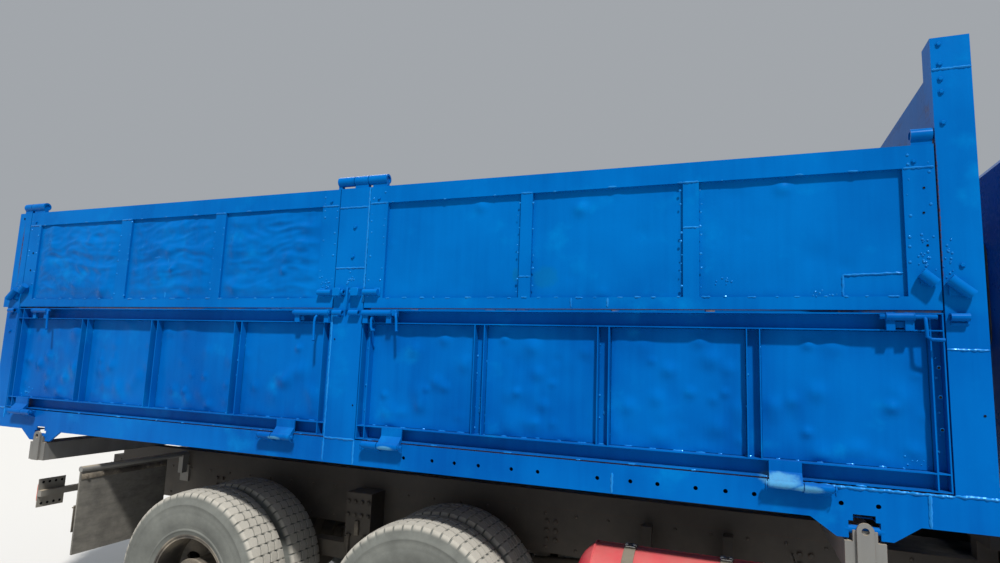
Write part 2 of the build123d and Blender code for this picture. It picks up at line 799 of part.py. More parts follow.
def upper_board(end):
    """Left raised side board: box frame, recessed sheet, knuckles on top and bolts."""
    x0, x1 = board_ends(end)
    inner = BOARD_INNER
    outer = BED_HALF_WIDTH
    low = bz(UPPER_BOTTOM)
    high = bz(UPPER_TOP)
    board = block((x0, x1), (inner, outer), (low, high))
    window_z = (low + UPPER_LOW_RAIL, high - UPPER_TOP_RAIL)
    sheet_out = outer - UPPER_RECESS
    starts = [x0 + UPPER_STILE]
    finishes = []
    for share, width in UPPER_RIBS[end]:
        middle = x0 + share * (x1 - x0)
        finishes.append(middle - width / 2)
        starts.append(middle + width / 2)
    finishes.append(x1 - UPPER_STILE)
    for start, finish in zip(starts, finishes):
        board = board - block((start, finish), (sheet_out, outer + 1), window_z)
        board = board - block((start, finish), (inner - 1, sheet_out - UPPER_SHEET), window_z)
    pieces = [board]
    for start, finish in top_knuckles(end):
        pieces.append(top_knuckle(start, finish, x0, x1))
    if end == "rear":
        pieces.append(upper_bolt(x1, -1))
        pieces.append(tilted_stub(x0 - BOARD_GAP, 1, TILT_BOARD))
    else:
        pieces.append(upper_bolt(x0, 1))
        pieces.append(tilted_stub(x1 + BOARD_GAP, -1, TILT_BOARD))
    return joined(pieces)


def top_knuckles(end):
    """Start and end of the knuckles that hang a raised board."""
    _, rear_start, rear_end = TOP_KNUCKLE_REAR
    board_rear, centre_start, centre_end, board_front = top_centre()
    if end == "rear":
        return [(bx(rear_start), bx(rear_end)), (bx(board_rear), bx(centre_start))]
    front = (bx(FRONT_POST_START - TOP_KNUCKLE_FRONT), bx(FRONT_POST_START - KNUCKLE_GAP))
    return [(bx(centre_end), bx(board_front)), front]


def top_knuckle(start, end, x0, x1):
    """Tube above a raised board with its neck, bored for the post's pin."""
    y = TOP_HINGE_Y
    z = bz(TOP_HINGE_Z)
    barrel = rod_x(start, end, y, z, TOP_BARREL_R)
    neck_x = (max(start, x0), min(end, x1))
    neck = block(neck_x, (y - TOP_NECK / 2, y + TOP_NECK / 2), (bz(UPPER_TOP), z))
    return barrel + neck - rod_x(start - 1, end + 1, y, z, TOP_PIN_R + HINGE_PLAY)


def upper_bolt(edge, way):
    """Short bolt barrel at a lower corner of a raised board."""
    start = edge + way * UPPER_BOLT_GAP
    end = start + way * UPPER_BOLT_LENGTH
    z = bz(UPPER_CATCH_Z)
    barrel = rod_x(min(start, end), max(start, end), BOLT_Y, z, BOLT_TUBE_R)
    foot_z = (z - BOLT_TUBE_R, z + BOLT_TUBE_BORE)
    return barrel + block(sorted((start, end)), (BED_HALF_WIDTH, BOLT_Y), foot_z)


# Chassis: frame, tipping beams, axles, springs and what hangs on the frame


def frame_rail():
    """Left frame rail, a channel open towards the middle."""
    y = (FRAME_HALF_WIDTH - FRAME_FLANGE, FRAME_HALF_WIDTH)
    z = (FRAME_TOP - FRAME_HEIGHT, FRAME_TOP)
    return channel_bar(bx(FRAME_REAR), bx(FRAME_FRONT), y, z, FRAME_WALL)


def crossmembers():
    """Channels between the rails; the last one carries the towing plate."""
    edge = FRAME_HALF_WIDTH - FRAME_WALL
    z = (FRAME_TOP - FRAME_HEIGHT + FRAME_WALL, FRAME_TOP - FRAME_WALL)
    hollow_z = (z[0] + FRAME_WALL, z[1] - FRAME_WALL)
    pieces = []
    for number, distance in enumerate(CROSSMEMBERS):
        start = bx(distance)
        end = start + CROSSMEMBER_WIDTH
        bar = block((start, end), (-edge, edge), z)
        bar = bar - block((start + FRAME_WALL, end + 1), (-edge - 1, edge + 1), hollow_z)
        if number == 0:
            bar = bar - tow_bolt_holes(start)
        if distance == HOIST_CROSSMEMBER:
            bar = bar + hoist_bearers(start)
        if number == len(CROSSMEMBERS) - 1:
            bar = bar + cab_pivot_ears(start)
        pieces.append(bar)
    return pieces


def tow_bolt_holes(start):
    """Four through holes for a towing hook in the rear crossmember."""
    holes = []
    for y in (-TOW_SPACING_Y / 2, TOW_SPACING_Y / 2):
        for z in (TOW_Z - TOW_SPACING_Z / 2, TOW_Z + TOW_SPACING_Z / 2):
            holes.append(rod((start - 1, y, z), (start + FRAME_WALL + 1, y, z), TOW_HOLE_R))
    return holes


def hoist_bearers(start):
    """Two ears for the trunnions of the hoist's barrel, on two long arms."""
    reach = HOIST_RADII[0] + TRUNNION_GAP
    arm_y = HOIST_RADII[0] + EAR_HALF - EAR
    z = (HOIST_BASE_Z - EAR_HALF, HOIST_BASE_Z + EAR_HALF)
    arm_z = (FRAME_TOP - FRAME_HEIGHT + FRAME_WALL, z[1])
    pieces = []
    for side in (-1, 1):
        x = sorted((bx(HOIST_X) + side * reach, bx(HOIST_X) + side * (reach + EAR)))
        ear = block(x, (-EAR_HALF, EAR_HALF), z)
        bore = rod_x(x[0] - 1, x[1] + 1, 0, HOIST_BASE_Z, TRUNNION_R + HUB_PLAY)
        pieces.append(ear - bore)
        for y in ((-arm_y - EAR, -EAR_HALF), (EAR_HALF, arm_y + EAR)):
            pieces.append(block(x, y, (arm_z[0], arm_z[1])))
        arm = sorted((side * arm_y, side * (arm_y + EAR)))
        pieces.append(block((start + FRAME_WALL, bx(HOIST_X) + reach + EAR), arm, arm_z))
    return pieces


def cab_pivot_ears(start):
    """Brackets ahead of the frame with the pin that the cab tilts on."""
    x = bx(CAB_PIVOT_X)
    z = (CAB_PIVOT_Z - 2 * CAB_EAR_REACH, CAB_PIVOT_Z + CAB_EAR_REACH)
    pieces = []
    for side in (-1, 1):
        y = sorted((side * CAB_EAR_Y, side * (CAB_EAR_Y + CAB_EAR)))
        pieces.append(block((start, x + CAB_EAR_REACH), y, z))
        pin_y = sorted((side * (CAB_EAR_Y + 1), side * (CAB_EAR_Y + CAB_EAR + CAB_LUG_REACH + STRAP)))
        pieces.append(rod_y(x, pin_y[0], pin_y[1], CAB_PIVOT_Z, CAB_PIN_R))
    return pieces


def subframe_rail():
    """Left rail of the tipping subframe, seated on the frame."""
    y = (FRAME_HALF_WIDTH - FRAME_FLANGE, FRAME_HALF_WIDTH)
    return block((bx(SUBFRAME_REAR), bx(SUBFRAME_FRONT)), y, (FRAME_TOP, BEAM_TOP - BEAM_HEIGHT))


def tip_beam(pivot):
    """Beam across the subframe with an open saddle and a keeper lug at each end."""
    x = bx(pivot)
    half = BEAM_WIDTH / 2
    end = BED_HALF_WIDTH + BEAM_OVERHANG
    beam = block((x - half, x + half), (-end, end), (BEAM_TOP - BEAM_HEIGHT, BEAM_TOP))
    saddle_half = CHEEK_HALF_GAP - SADDLE_GAP
    for side in (-1, 1):
        y = side * PIVOT_Y
        seat_y = sorted((y - side * SADDLE_HALF, side * end))
        seat = block((x - saddle_half, x + saddle_half), seat_y, (BEAM_TOP, PIVOT_Z))
        groove = rod_x(x - saddle_half - 1, x + saddle_half + 1, y, PIVOT_Z, PIVOT_PIN_R + PIVOT_PLAY)
        lug_y = sorted((side * end, side * (end + LUG)))
        lug = block((x - LUG_R, x + LUG_R), lug_y, (BEAM_TOP - BEAM_HEIGHT, PIVOT_Z))
        lug = lug + rod_y(x, lug_y[0], lug_y[1], PIVOT_Z, LUG_R)
        lug = lug - rod_y(x, lug_y[0] - 1, lug_y[1] + 1, PIVOT_Z, LUG_HOLE_R)
        beam = beam + (seat - groove) + lug
    return beam


def drive_axle(distance):
    """Axle housing with its round middle and the stubs that the hubs turn on."""
    x = bx(distance)
    middle = rod_y(x, -REAR_HUB_IN, REAR_HUB_IN, AXLE_Z, HOUSING_R)
    bowl = rod((x - BANJO_HALF / 2, 0, AXLE_Z), (x + BANJO_HALF / 2, 0, AXLE_Z), BANJO_R)
    nose_z = AXLE_Z + NOSE_RISE
    nose = rod((x + BANJO_HALF / 2, 0, nose_z), (x + BANJO_HALF, 0, nose_z), NOSE_R)
    stub = rod_y(x, -STUB_END_Y, STUB_END_Y, AXLE_Z, REAR_STUB_R)
    return middle + bowl + nose + stub


def rear_spring():
    """Left rocking leaf spring between the two drive axles, on its trunnion."""
    middle = bx((REAR_AXLE_X + MIDDLE_AXLE_X) / 2)
    reach = (MIDDLE_AXLE_X - REAR_AXLE_X) / 2
    y = (SPRING_Y - SPRING_WIDTH / 2, SPRING_Y + SPRING_WIDTH / 2)
    seat = AXLE_Z + HOUSING_R
    pieces = []
    for leaf in range(REAR_SPRING_LEAVES):
        half = reach + SPRING_OVERHANG - leaf * LEAF_STEP
        z = seat + leaf * LEAF_THICKNESS
        pieces.append(block((middle - half, middle + half), y, (z, z + LEAF_THICKNESS)))
    stack_top = seat + REAR_SPRING_LEAVES * LEAF_THICKNESS
    saddle_x = (middle - SPRING_SADDLE, middle + SPRING_SADDLE)
    saddle = block(saddle_x, y, (stack_top, stack_top + SPRING_SADDLE_HEIGHT))
    hanger_y = (FRAME_HALF_WIDTH, y[1])
    hanger = block(saddle_x, hanger_y, (stack_top + SPRING_SADDLE_HEIGHT, FRAME_TOP - FRAME_WALL * 2))
    return joined(pieces + [saddle, hanger])


def front_spring():
    """Left front leaf spring with its hangers under the frame rail."""
    x = bx(FRONT_AXLE_X)
    y = (FRAME_HALF_WIDTH - FRAME_FLANGE, FRAME_HALF_WIDTH - FRAME_FLANGE + FRONT_SPRING_WIDTH)
    seat = FRONT_BEAM_Z + FRONT_BEAM_HEIGHT
    pieces = []
    for leaf in range(FRONT_SPRING_LEAVES):
        half = FRONT_LEAF_HALF + leaf * FRONT_LEAF_STEP
        z = seat + leaf * LEAF_THICKNESS
        pieces.append(block((x - half, x + half), y, (z, z + LEAF_THICKNESS)))
    top = seat + FRONT_SPRING_LEAVES * LEAF_THICKNESS
    for edge in (x - half, x + half - FRONT_HANGER):
        pieces.append(block((edge, edge + FRONT_HANGER), y, (top, FRAME_TOP - FRAME_HEIGHT)))
    return joined(pieces)


def front_axle():
    """Dropped beam with an eye and a kingpin at each end."""
    x = bx(FRONT_AXLE_X)
    half = FRONT_BEAM_WIDTH / 2
    low = FRONT_BEAM_Z
    high = FRONT_BEAM_Z + FRONT_BEAM_HEIGHT
    eye = (AXLE_Z - KNUCKLE_EYE_HALF, AXLE_Z + KNUCKLE_EYE_HALF)
    neck = KINGPIN_Y - 2 * KNUCKLE_EYE_HALF
    drop = neck - FRONT_BEAM_RAMP
    outline = [
        (-KINGPIN_Y, eye[0]), (-neck, eye[0]), (-drop, low),
        (drop, low), (neck, eye[0]), (KINGPIN_Y, eye[0]),
        (KINGPIN_Y, eye[1]), (neck, eye[1]), (drop, high),
        (-drop, high), (-neck, eye[1]), (-KINGPIN_Y, eye[1]),
    ]
    beam = prism_x(outline, x - half, x + half)
    reach = KNUCKLE_EYE_HALF + KNUCKLE_ARM_GAP + KNUCKLE_ARM
    for side in (-1, 1):
        y = side * KINGPIN_Y
        beam = beam + rod((x, y, eye[0]), (x, y, eye[1]), KNUCKLE_EYE_R)
        clear = tube((x, y, eye[0] - 1), (x, y, eye[1] + 1), 2 * FRONT_BEAM_WIDTH, KNUCKLE_EYE_R)
        outboard_x = (x - 2 * FRONT_BEAM_WIDTH, x + 2 * FRONT_BEAM_WIDTH)
        outboard_y = sorted((y, y + side * 2 * FRONT_BEAM_WIDTH))
        outboard = block(outboard_x, outboard_y, (eye[0] - 2, eye[1] + 2))
        beam = beam - (clear & outboard)
        beam = beam + rod((x, y, AXLE_Z - reach), (x, y, AXLE_Z + reach), KINGPIN_R)
    return beam


def steering_knuckle():
    """Left knuckle: two arms on the kingpin, a web outside the eye and the wheel's stub."""
    x = bx(FRONT_AXLE_X)
    y = KINGPIN_Y
    inner = KNUCKLE_EYE_HALF + KNUCKLE_ARM_GAP
    outer = inner + KNUCKLE_ARM
    web_start = y + KNUCKLE_EYE_R + KNUCKLE_WEB_GAP
    web_end = web_start + KNUCKLE_WEB
    web_half = KNUCKLE_EYE_R + 3
    pieces = [block((x - web_half, x + web_half), (web_start, web_end), (AXLE_Z - outer, AXLE_Z + outer))]
    for low, high in ((AXLE_Z - outer, AXLE_Z - inner), (AXLE_Z + inner, AXLE_Z + outer)):
        arm = block((x - KNUCKLE_EYE_R, x + KNUCKLE_EYE_R), (y, web_end), (low, high))
        pieces.append(arm + rod((x, y, low), (x, y, high), KNUCKLE_EYE_R))
    pieces.append(rod_y(x, web_end - 1, web_end + KNUCKLE_BOSS_LENGTH, AXLE_Z, FRONT_STUB_R + KNUCKLE_BOSS))
    pieces.append(rod_y(x, web_end, FRONT_STUB_END, AXLE_Z, FRONT_STUB_R))
    whole = joined(pieces)
    return whole - rod((x, y, AXLE_Z - outer - 1), (x, y, AXLE_Z + outer + 1), KINGPIN_R + HUB_PLAY)


def tyre(x, y):
    """Tyre about an axle: rounded side walls, flat tread, seated on the rim."""
    half = TYRE_WIDTH / 2
    seat = RIM_WIDTH / 2 - RIM_LIP
    lip = RIM_LIP_R + 2
    shoulder_r = TYRE_R - TYRE_SHOULDER
    shoulder = half - TYRE_SHOULDER / 2
    crown = half - 1.4 * TYRE_SHOULDER
    belly_r = (lip + TYRE_R) / 2
    left = [(-seat, lip), (-seat, TYRE_BEAD_R), (seat, TYRE_BEAD_R), (seat, lip)]
    edges = [
        Polyline(*left),
        ThreePointArc((seat, lip), (half, belly_r), (shoulder, shoulder_r)),
        Polyline((shoulder, shoulder_r), (crown, TYRE_R), (-crown, TYRE_R), (-shoulder, shoulder_r)),
        ThreePointArc((-shoulder, shoulder_r), (-half, belly_r), (-seat, lip)),
    ]
    section = make_face(edges)
    upright = Plane(origin=(x, y, AXLE_Z), x_dir=(0, 1, 0), z_dir=(1, 0, 0))
    return revolve(upright * section, Axis((x, y, AXLE_Z), (0, 1, 0)))


def rim(x, y, disc_y, dish):
    """Rim band with two lips and a dished disc with hand holes; dish is the disc's way out."""
    half = RIM_WIDTH / 2
    band = tube((x, y - half, AXLE_Z), (x, y + half, AXLE_Z), TYRE_BEAD_R, TYRE_BEAD_R - RIM_WALL)
    for start in (y - half, y + half - RIM_LIP):
        lip_end = (x, start + RIM_LIP, AXLE_Z)
        band = band + tube((x, start, AXLE_Z), lip_end, RIM_LIP_R, TYRE_BEAD_R - RIM_WALL)
    root = y + dish * (half - DISH_SEAT)
    thick = dish * DISC
    section = [
        (disc_y, 0), (disc_y, DISH_FLAT_R), (root, TYRE_BEAD_R - 2),
        (root - thick, TYRE_BEAD_R - 2), (disc_y - thick, DISH_FLAT_R - 6), (disc_y - thick, 0),
    ]
    upright = Plane(origin=(x, 0, AXLE_Z), x_dir=(0, 1, 0), z_dir=(1, 0, 0))
    disc = revolve(upright * make_face(Polyline(*section, close=True)), Axis((x, 0, AXLE_Z), (0, 1, 0)))
    holes = []
    for number in range(HAND_HOLES):
        turn = radians(360 / HAND_HOLES * (number + 0.5))
        hole_x = x + HAND_HOLE_CIRCLE * cos(turn)
        hole_z = AXLE_Z + HAND_HOLE_CIRCLE * sin(turn)
        reach = sorted((disc_y + dish, root - 3 * thick))
        holes.append(rod_y(hole_x, *reach, hole_z, HAND_HOLE_R))
    return band + (disc - holes)


def front_rim():
    """Left front wheel without its tyre: rim, disc near the outer lip, hub and cap."""
    x = bx(FRONT_AXLE_X)
    disc_y = FRONT_WHEEL_Y + FRONT_DISC_OUT
    hub = rod_y(x, FRONT_HUB_IN, FRONT_STUB_END + HUB_CAP, AXLE_Z, FRONT_HUB_R)
    bore = rod_y(x, FRONT_HUB_IN - 1, FRONT_STUB_END + BORE_PAST_STUB, AXLE_Z, FRONT_STUB_R + HUB_PLAY)
    return rim(x, FRONT_WHEEL_Y, disc_y, 1) + hub - bore


def rear_rims(distance):
    """Left twin wheel without its tyres: two rims back to back on one hub and drum."""
    x = bx(distance)
    middle = (INNER_TYRE_Y + OUTER_TYRE_Y) / 2
    pair = rim(x, OUTER_TYRE_Y, middle, -1) + rim(x, INNER_TYRE_Y, middle, 1)
    hub = rod_y(x, REAR_HUB_START, STUB_END_Y + HUB_CAP, AXLE_Z, REAR_HUB_R)
    drum = rod_y(x, REAR_HUB_START, REAR_DRUM_END, AXLE_Z, REAR_DRUM_R)
    bore = rod_y(x, REAR_HUB_START - 1, STUB_END_Y + BORE_PAST_STUB, AXLE_Z, REAR_STUB_R + HUB_PLAY)
    return pair + hub + drum - bore


def rear_tyres(distance):
    """Left pair of twin tyres."""
    x = bx(distance)
    return [tyre(x, INNER_TYRE_Y), tyre(x, OUTER_TYRE_Y)]


def engine():
    """Engine with its gearbox as one plain mass, on four arms to the frame."""
    (start, end), half, z = ENGINE
    (box_start, box_end), box_half, box_z = GEARBOX
    mass = block((bx(start), bx(end)), (-half, half), z)
    mass = mass + block((bx(box_start), bx(box_end)), (-box_half, box_half), box_z)
    reach = FRAME_HALF_WIDTH - FRAME_WALL
    for arm in MOUNT_ARMS:
        mass = mass + block((bx(arm), bx(arm + MOUNT_ARM)), (-reach, reach), MOUNT_ARM_Z)
    return mass


def drive_shafts():
    """Shaft from the gearbox to the middle axle, and on to the rear axle."""
    nose = AXLE_Z + NOSE_RISE
    runs = (
        (GEARBOX[0][0], GEARBOX_OUT_Z, MIDDLE_AXLE_X + BANJO_HALF, nose),
        (MIDDLE_AXLE_X - BANJO_HALF / 2, nose, REAR_AXLE_X + BANJO_HALF, nose),
    )
    flange_r = SHAFT_R + SHAFT_FLANGE
    shafts = []
    for front_x, front_z, rear_x, rear_z in runs:
        front = (bx(front_x - SHAFT_STUB), 0, front_z)
        rear = (bx(rear_x + SHAFT_STUB), 0, rear_z)
        shaft = rod(rear, front, SHAFT_R)
        shaft = shaft + rod(front, (bx(front_x), 0, front_z), flange_r)
        shaft = shaft + rod((bx(rear_x), 0, rear_z), rear, flange_r)
        shafts.append(shaft)
    return shafts


def gas_cylinder():
    """Red gas cylinder on the right, along the truck, with domed ends."""
    x0, x1 = bx(GAS[0]), bx(GAS[1])
    bulge = GAS_DOME * 0.3
    waist = GAS_R * 0.72
    edges = [
        Line((x0, 0), (x0, GAS_NECK_R)),
        ThreePointArc((x0, GAS_NECK_R), (x0 + bulge, waist), (x0 + GAS_DOME, GAS_R)),
        Line((x0 + GAS_DOME, GAS_R), (x1 - GAS_DOME, GAS_R)),
        ThreePointArc((x1 - GAS_DOME, GAS_R), (x1 - bulge, waist), (x1, GAS_NECK_R)),
        Line((x1, GAS_NECK_R), (x1, 0)),
        Line((x1, 0), (x0, 0)),
    ]
    upright = Plane(origin=(0, -GAS_Y, GAS_Z), x_dir=(1, 0, 0), z_dir=(0, -1, 0))
    return revolve(upright * make_face(edges), Axis((0, -GAS_Y, GAS_Z), (1, 0, 0)))


def gas_straps():
    """Bands round the gas cylinder on arms that come out from the frame."""
    straps = []
    rail = FRAME_HALF_WIDTH
    low = GAS_Z - GAS_R - STRAP
    top = FRAME_TOP - ARM_DROP
    knee = GAS_R * 0.7
    for start in GAS_STRAPS:
        x0, x1 = bx(start), bx(start + STRAP_WIDTH)
        band = tube_x(x0, x1, -GAS_Y, GAS_Z, GAS_R + STRAP, GAS_R + HUB_PLAY)
        outline = [
            (-rail, top), (-rail, low - ARM), (-GAS_Y - GAS_R * 0.3, low - ARM),
            (-GAS_Y - GAS_R * 0.3, low + ARM / 2), (-GAS_Y + GAS_R * 0.3, low + ARM / 2),
            (-rail - knee, low + 2 * ARM), (-rail - knee / 2, top),
        ]
        arm = prism_x(outline, x0, x1) - rod_x(x0 - 1, x1 + 1, -GAS_Y, GAS_Z, GAS_R + STRAP / 2)
        straps.append(band + arm)
    return straps


def fuel_tank():
    """Left fuel tank with rounded long edges, standing on two arms."""
    (start, end), y, z = FUEL
    tank = block((bx(start), bx(end)), y, z)
    return fillet(tank.edges().filter_by(Axis.X), FUEL_ROUND)


def battery_box():
    """Left battery box with its lid line."""
    (start, end), y, z = BATTERY
    box = block((bx(start), bx(end)), y, z)
    lid_x = (bx(start) - BATTERY_LID, bx(end) + BATTERY_LID)
    lid = block(lid_x, (y[0] - BATTERY_LID, y[1] + BATTERY_LID), (z[1] - BATTERY_LID_HEIGHT, z[1]))
    return box + lid


def side_arms():
    """Arms on the left rail under the fuel tank and the battery box."""
    arms = []
    top = FRAME_TOP - ARM_DROP
    for (span, y, z), inset in ((FUEL, FUEL_INSET), (BATTERY, BATTERY_INSET)):
        wall = y[0] - 2 * BATTERY_LID
        for start in (span[0] + inset, span[1] - inset - STRAP_WIDTH):
            outline = [
                (FRAME_HALF_WIDTH, top), (wall, top), (wall, z[0]),
                (y[1] - 2 * ARM, z[0]), (y[1] - 2 * ARM, z[0] - ARM), (FRAME_HALF_WIDTH, z[0] - 2 * ARM),
            ]
            arms.append(prism_x(outline, bx(start), bx(start + STRAP_WIDTH)))
    return arms


def flap_bar():
    """Bar that holds the left rear mudflap, with its foot on the frame."""
    x = bx(FLAP_X)
    z = FLAP_Z[1] + FLAP_BAR_R
    bar = rod_y(x, FRAME_HALF_WIDTH, FLAP_Y[1], z, FLAP_BAR_R)
    foot_y = (FRAME_HALF_WIDTH, FRAME_HALF_WIDTH + FLAP)
    foot_z = (FRAME_TOP - FRAME_HEIGHT / 2, FRAME_TOP - FRAME_WALL)
    foot = block((x - 2 * ARM_DROP, x + 2 * ARM_DROP), foot_y, foot_z)
    riser_y = (FRAME_HALF_WIDTH, FRAME_HALF_WIDTH + 3 * FLAP_BAR_R)
    riser = block((x - ARM_DROP, x + ARM_DROP), riser_y, (FRAME_TOP - FRAME_HEIGHT / 4, z))
    return bar + foot + riser


def lamp_bar():
    """Left tail lamp plate on its arm from the frame."""
    (x0, x1), y, z = LAMP_PLATE
    plate = block((bx(x0), bx(x1)), y, z)
    middle = (z[0] + z[1]) / 2
    arm_z = (middle - LAMP_ARM / 2, middle + LAMP_ARM / 2)
    return plate + block((bx(x0), bx(x0 + LAMP_ARM)), (FRAME_HALF_WIDTH, y[1]), arm_z)


def mudflap():
    """Left rear mudflap."""
    x = bx(FLAP_X) - FLAP / 2
    return block((x, x + FLAP), FLAP_Y, FLAP_Z)


def tail_lamp():
    """Left tail lamp on the rear face of its plate."""
    (x0, _), (y0, y1), (z0, z1) = LAMP_PLATE
    return block((bx(x0 - LAMP_THICKNESS), bx(x0)), (y0 + FLAP, y1 - FLAP), (z0 + LAMP_ARM, z1 - LAMP_ARM))


# Front of the chassis: bumper, lamps, steps and the rest behind the cab


def bumper():
    """Front bumper with rounded ends, lamp pockets and two brackets to the frame."""
    x1 = bx(BUMPER_FRONT)
    x0 = x1 - BUMPER_DEPTH
    beam = block((x0, x1), (-BUMPER_HALF, BUMPER_HALF), BUMPER_Z)
    corners = beam.edges().filter_by(Axis.Z).group_by(Axis.X)[-1]
    beam = fillet(corners, BUMPER_DEPTH * 0.7)
    for side in (-1, 1):
        y = sorted(side * edge for edge in HEADLAMP_Y)
        beam = beam - block((x1 - LAMP_POCKET, x1 + 1), y, HEADLAMP_Z)
        bracket_y = sorted((side * FRAME_HALF_WIDTH, side * (FRAME_HALF_WIDTH - FRAME_FLANGE)))
        bracket_z = (BUMPER_Z[1] - 2 * BRACKET_HEIGHT, BUMPER_Z[1] - BRACKET_HEIGHT)
        beam = beam + block((bx(FRAME_FRONT), x0), bracket_y, bracket_z)
    return beam


def headlamp():
    """Left headlamp in its pocket."""
    x = bx(BUMPER_FRONT)
    y = (HEADLAMP_Y[0] + 1, HEADLAMP_Y[1] - 1)
    z = (HEADLAMP_Z[0] + 1, HEADLAMP_Z[1] - 1)
    face = x - HEADLAMP_SUNK
    lamp = block((x - LAMP_POCKET, face), y, z)
    middle = ((y[0] + y[1]) / 2, (z[0] + z[1]) / 2)
    lens = rod((face, *middle), (x, *middle), LENS_R)
    return lamp + lens


def steps():
    """Left steps below the door, hung from the bumper's end."""
    x0 = bx(STEP_REAR)
    x1 = x0 + STEP_LENGTH
    back = bx(BUMPER_FRONT) - BUMPER_DEPTH
    y0, y1 = STEP_Y
    z = (STEP_HEIGHTS[0], BUMPER_Z[1])
    pieces = [block((x0, back), (y0, y0 + STEP_SIDE), z), block((x0, x0 + STEP_SIDE), (y0, y1), z)]
    for height in STEP_HEIGHTS:
        pieces.append(block((x0, x1), (y0, y1), (height, height + STEP_PLATE)))
    return joined(pieces)


def cab_rest():
    """Portal behind the cab that its rear wall settles against."""
    front = bx(CAB_REAR) - HUB_PLAY
    x = (front - REST_DEPTH, front)
    pieces = [block(x, (-REST_HALF, REST_HALF), REST_Z)]
    for side in (-1, 1):
        y = sorted((side * FRAME_HALF_WIDTH, side * (FRAME_HALF_WIDTH - FRAME_FLANGE)))
        pieces.append(block(x, y, (FRAME_TOP, REST_Z[0])))
    return joined(pieces)


# Cab


def cab_outline(inset):
    """Side outline of the cab, moved inwards by the inset."""
    rear = bx(CAB_REAR) + inset
    front = bx(CAB_FRONT) - inset
    roof = CAB_ROOF - inset
    bend = CAB_EDGE
    return [
        (rear, CAB_FLOOR + inset), (rear, roof - bend), (rear + bend, roof), (front - ROOF_SET_BACK, roof),
        (front - ROOF_SET_BACK + CAB_BROW, roof - bend), (front - SCREEN_STEP / 2, SCREEN_FOOT),
        (front, SCREEN_FOOT - SCREEN_STEP), (front, CAB_FLOOR + inset),
    ]


def cab_solid(inset):
    """Body of the cab inside its outline, clear of the wheels and the engine."""
    half = CAB_HALF_WIDTH - inset
    solid = prism_y(cab_outline(inset), -half, half)
    if inset == 0:
        top = solid.edges().filter_by(Axis.X).group_by(Axis.Z)[-1]
        solid = fillet(top, CAB_ROUND)
    arch = rod_y(bx(FRONT_AXLE_X), -CAB_HALF_WIDTH - 1, CAB_HALF_WIDTH + 1, AXLE_Z, ARCH_R + inset)
    tunnel_half = TUNNEL_HALF + inset
    reach = bx(CAB_FRONT) - 2 * CAB_WALL - TUNNEL_NOSE + inset
    tunnel_z = (CAB_FLOOR - 1, TUNNEL_TOP + inset)
    tunnel = block((bx(CAB_REAR) - 1, reach), (-tunnel_half, tunnel_half), tunnel_z)
    return solid - arch - tunnel


def door_prism(gap, y0, y1):
    """Block over the door's outline, smaller by the gap all round."""
    front = bx(DOOR_FRONT) - gap
    rear = bx(DOOR_REAR) + gap
    low = CAB_FLOOR + DOOR_SILL + gap
    high = CAB_ROOF - DOOR_HEAD - gap
    outline = [
        (front, low), (front, DOOR_BEND), (front - DOOR_RAKE - gap / 3, high), (rear, high), (rear, low),
    ]
    prism = prism_y(outline, y0, y1)
    arch = rod_y(bx(FRONT_AXLE_X), y0 - 1, y1 + 1, AXLE_Z, ARCH_R + CAB_WALL + DOOR_SILL / 2 + gap)
    return prism - arch


def cab_shell():
    """Hollow cab with its door and window openings and its two tilting lugs."""
    shell = cab_solid(0) - cab_solid(CAB_WALL)
    outer = CAB_HALF_WIDTH
    for side in (-1, 1):
        y = sorted((side * (outer - CAB_WALL - 1), side * (outer + 1)))
        shell = shell - door_prism(0, *y)
        shell = shell - block((bx(SIDE_GLASS[0][0]), bx(SIDE_GLASS[0][1])), y, SIDE_GLASS[1])
    front = bx(CAB_FRONT)
    shell = shell - block((front - SCREEN_CUT, front + 1), (-SCREEN[1], SCREEN[1]), SCREEN[0])
    rear_y, rear_z = REAR_GLASS
    rear = bx(CAB_REAR)
    shell = shell - block((rear - 1, rear + CAB_WALL + 1), (-rear_y, rear_y), rear_z)
    for side in (-1, 1):
        shell = shell + cab_lug(side)
        for height in DOOR_HINGES:
            shell = shell + door_hinge(side, height, True)
    return shell


def cab_lug(side):
    """Lug under the cab's front that tilts on the frame's pin."""
    pivot = bx(CAB_PIVOT_X)
    near = CAB_EAR_Y + CAB_EAR + CAB_LUG_GAP
    y = sorted((side * near, side * (near + CAB_LUG_REACH - CAB_LUG_GAP)))
    lug = block((pivot - CAB_LUG_R, pivot + CAB_LUG_R), y, (CAB_PIVOT_Z, CAB_FLOOR + 1))
    lug = lug + rod_y(pivot, y[0], y[1], CAB_PIVOT_Z, CAB_LUG_R)
    return lug - rod_y(pivot, y[0] - 1, y[1] + 1, CAB_PIVOT_Z, CAB_PIN_R + HUB_PLAY)


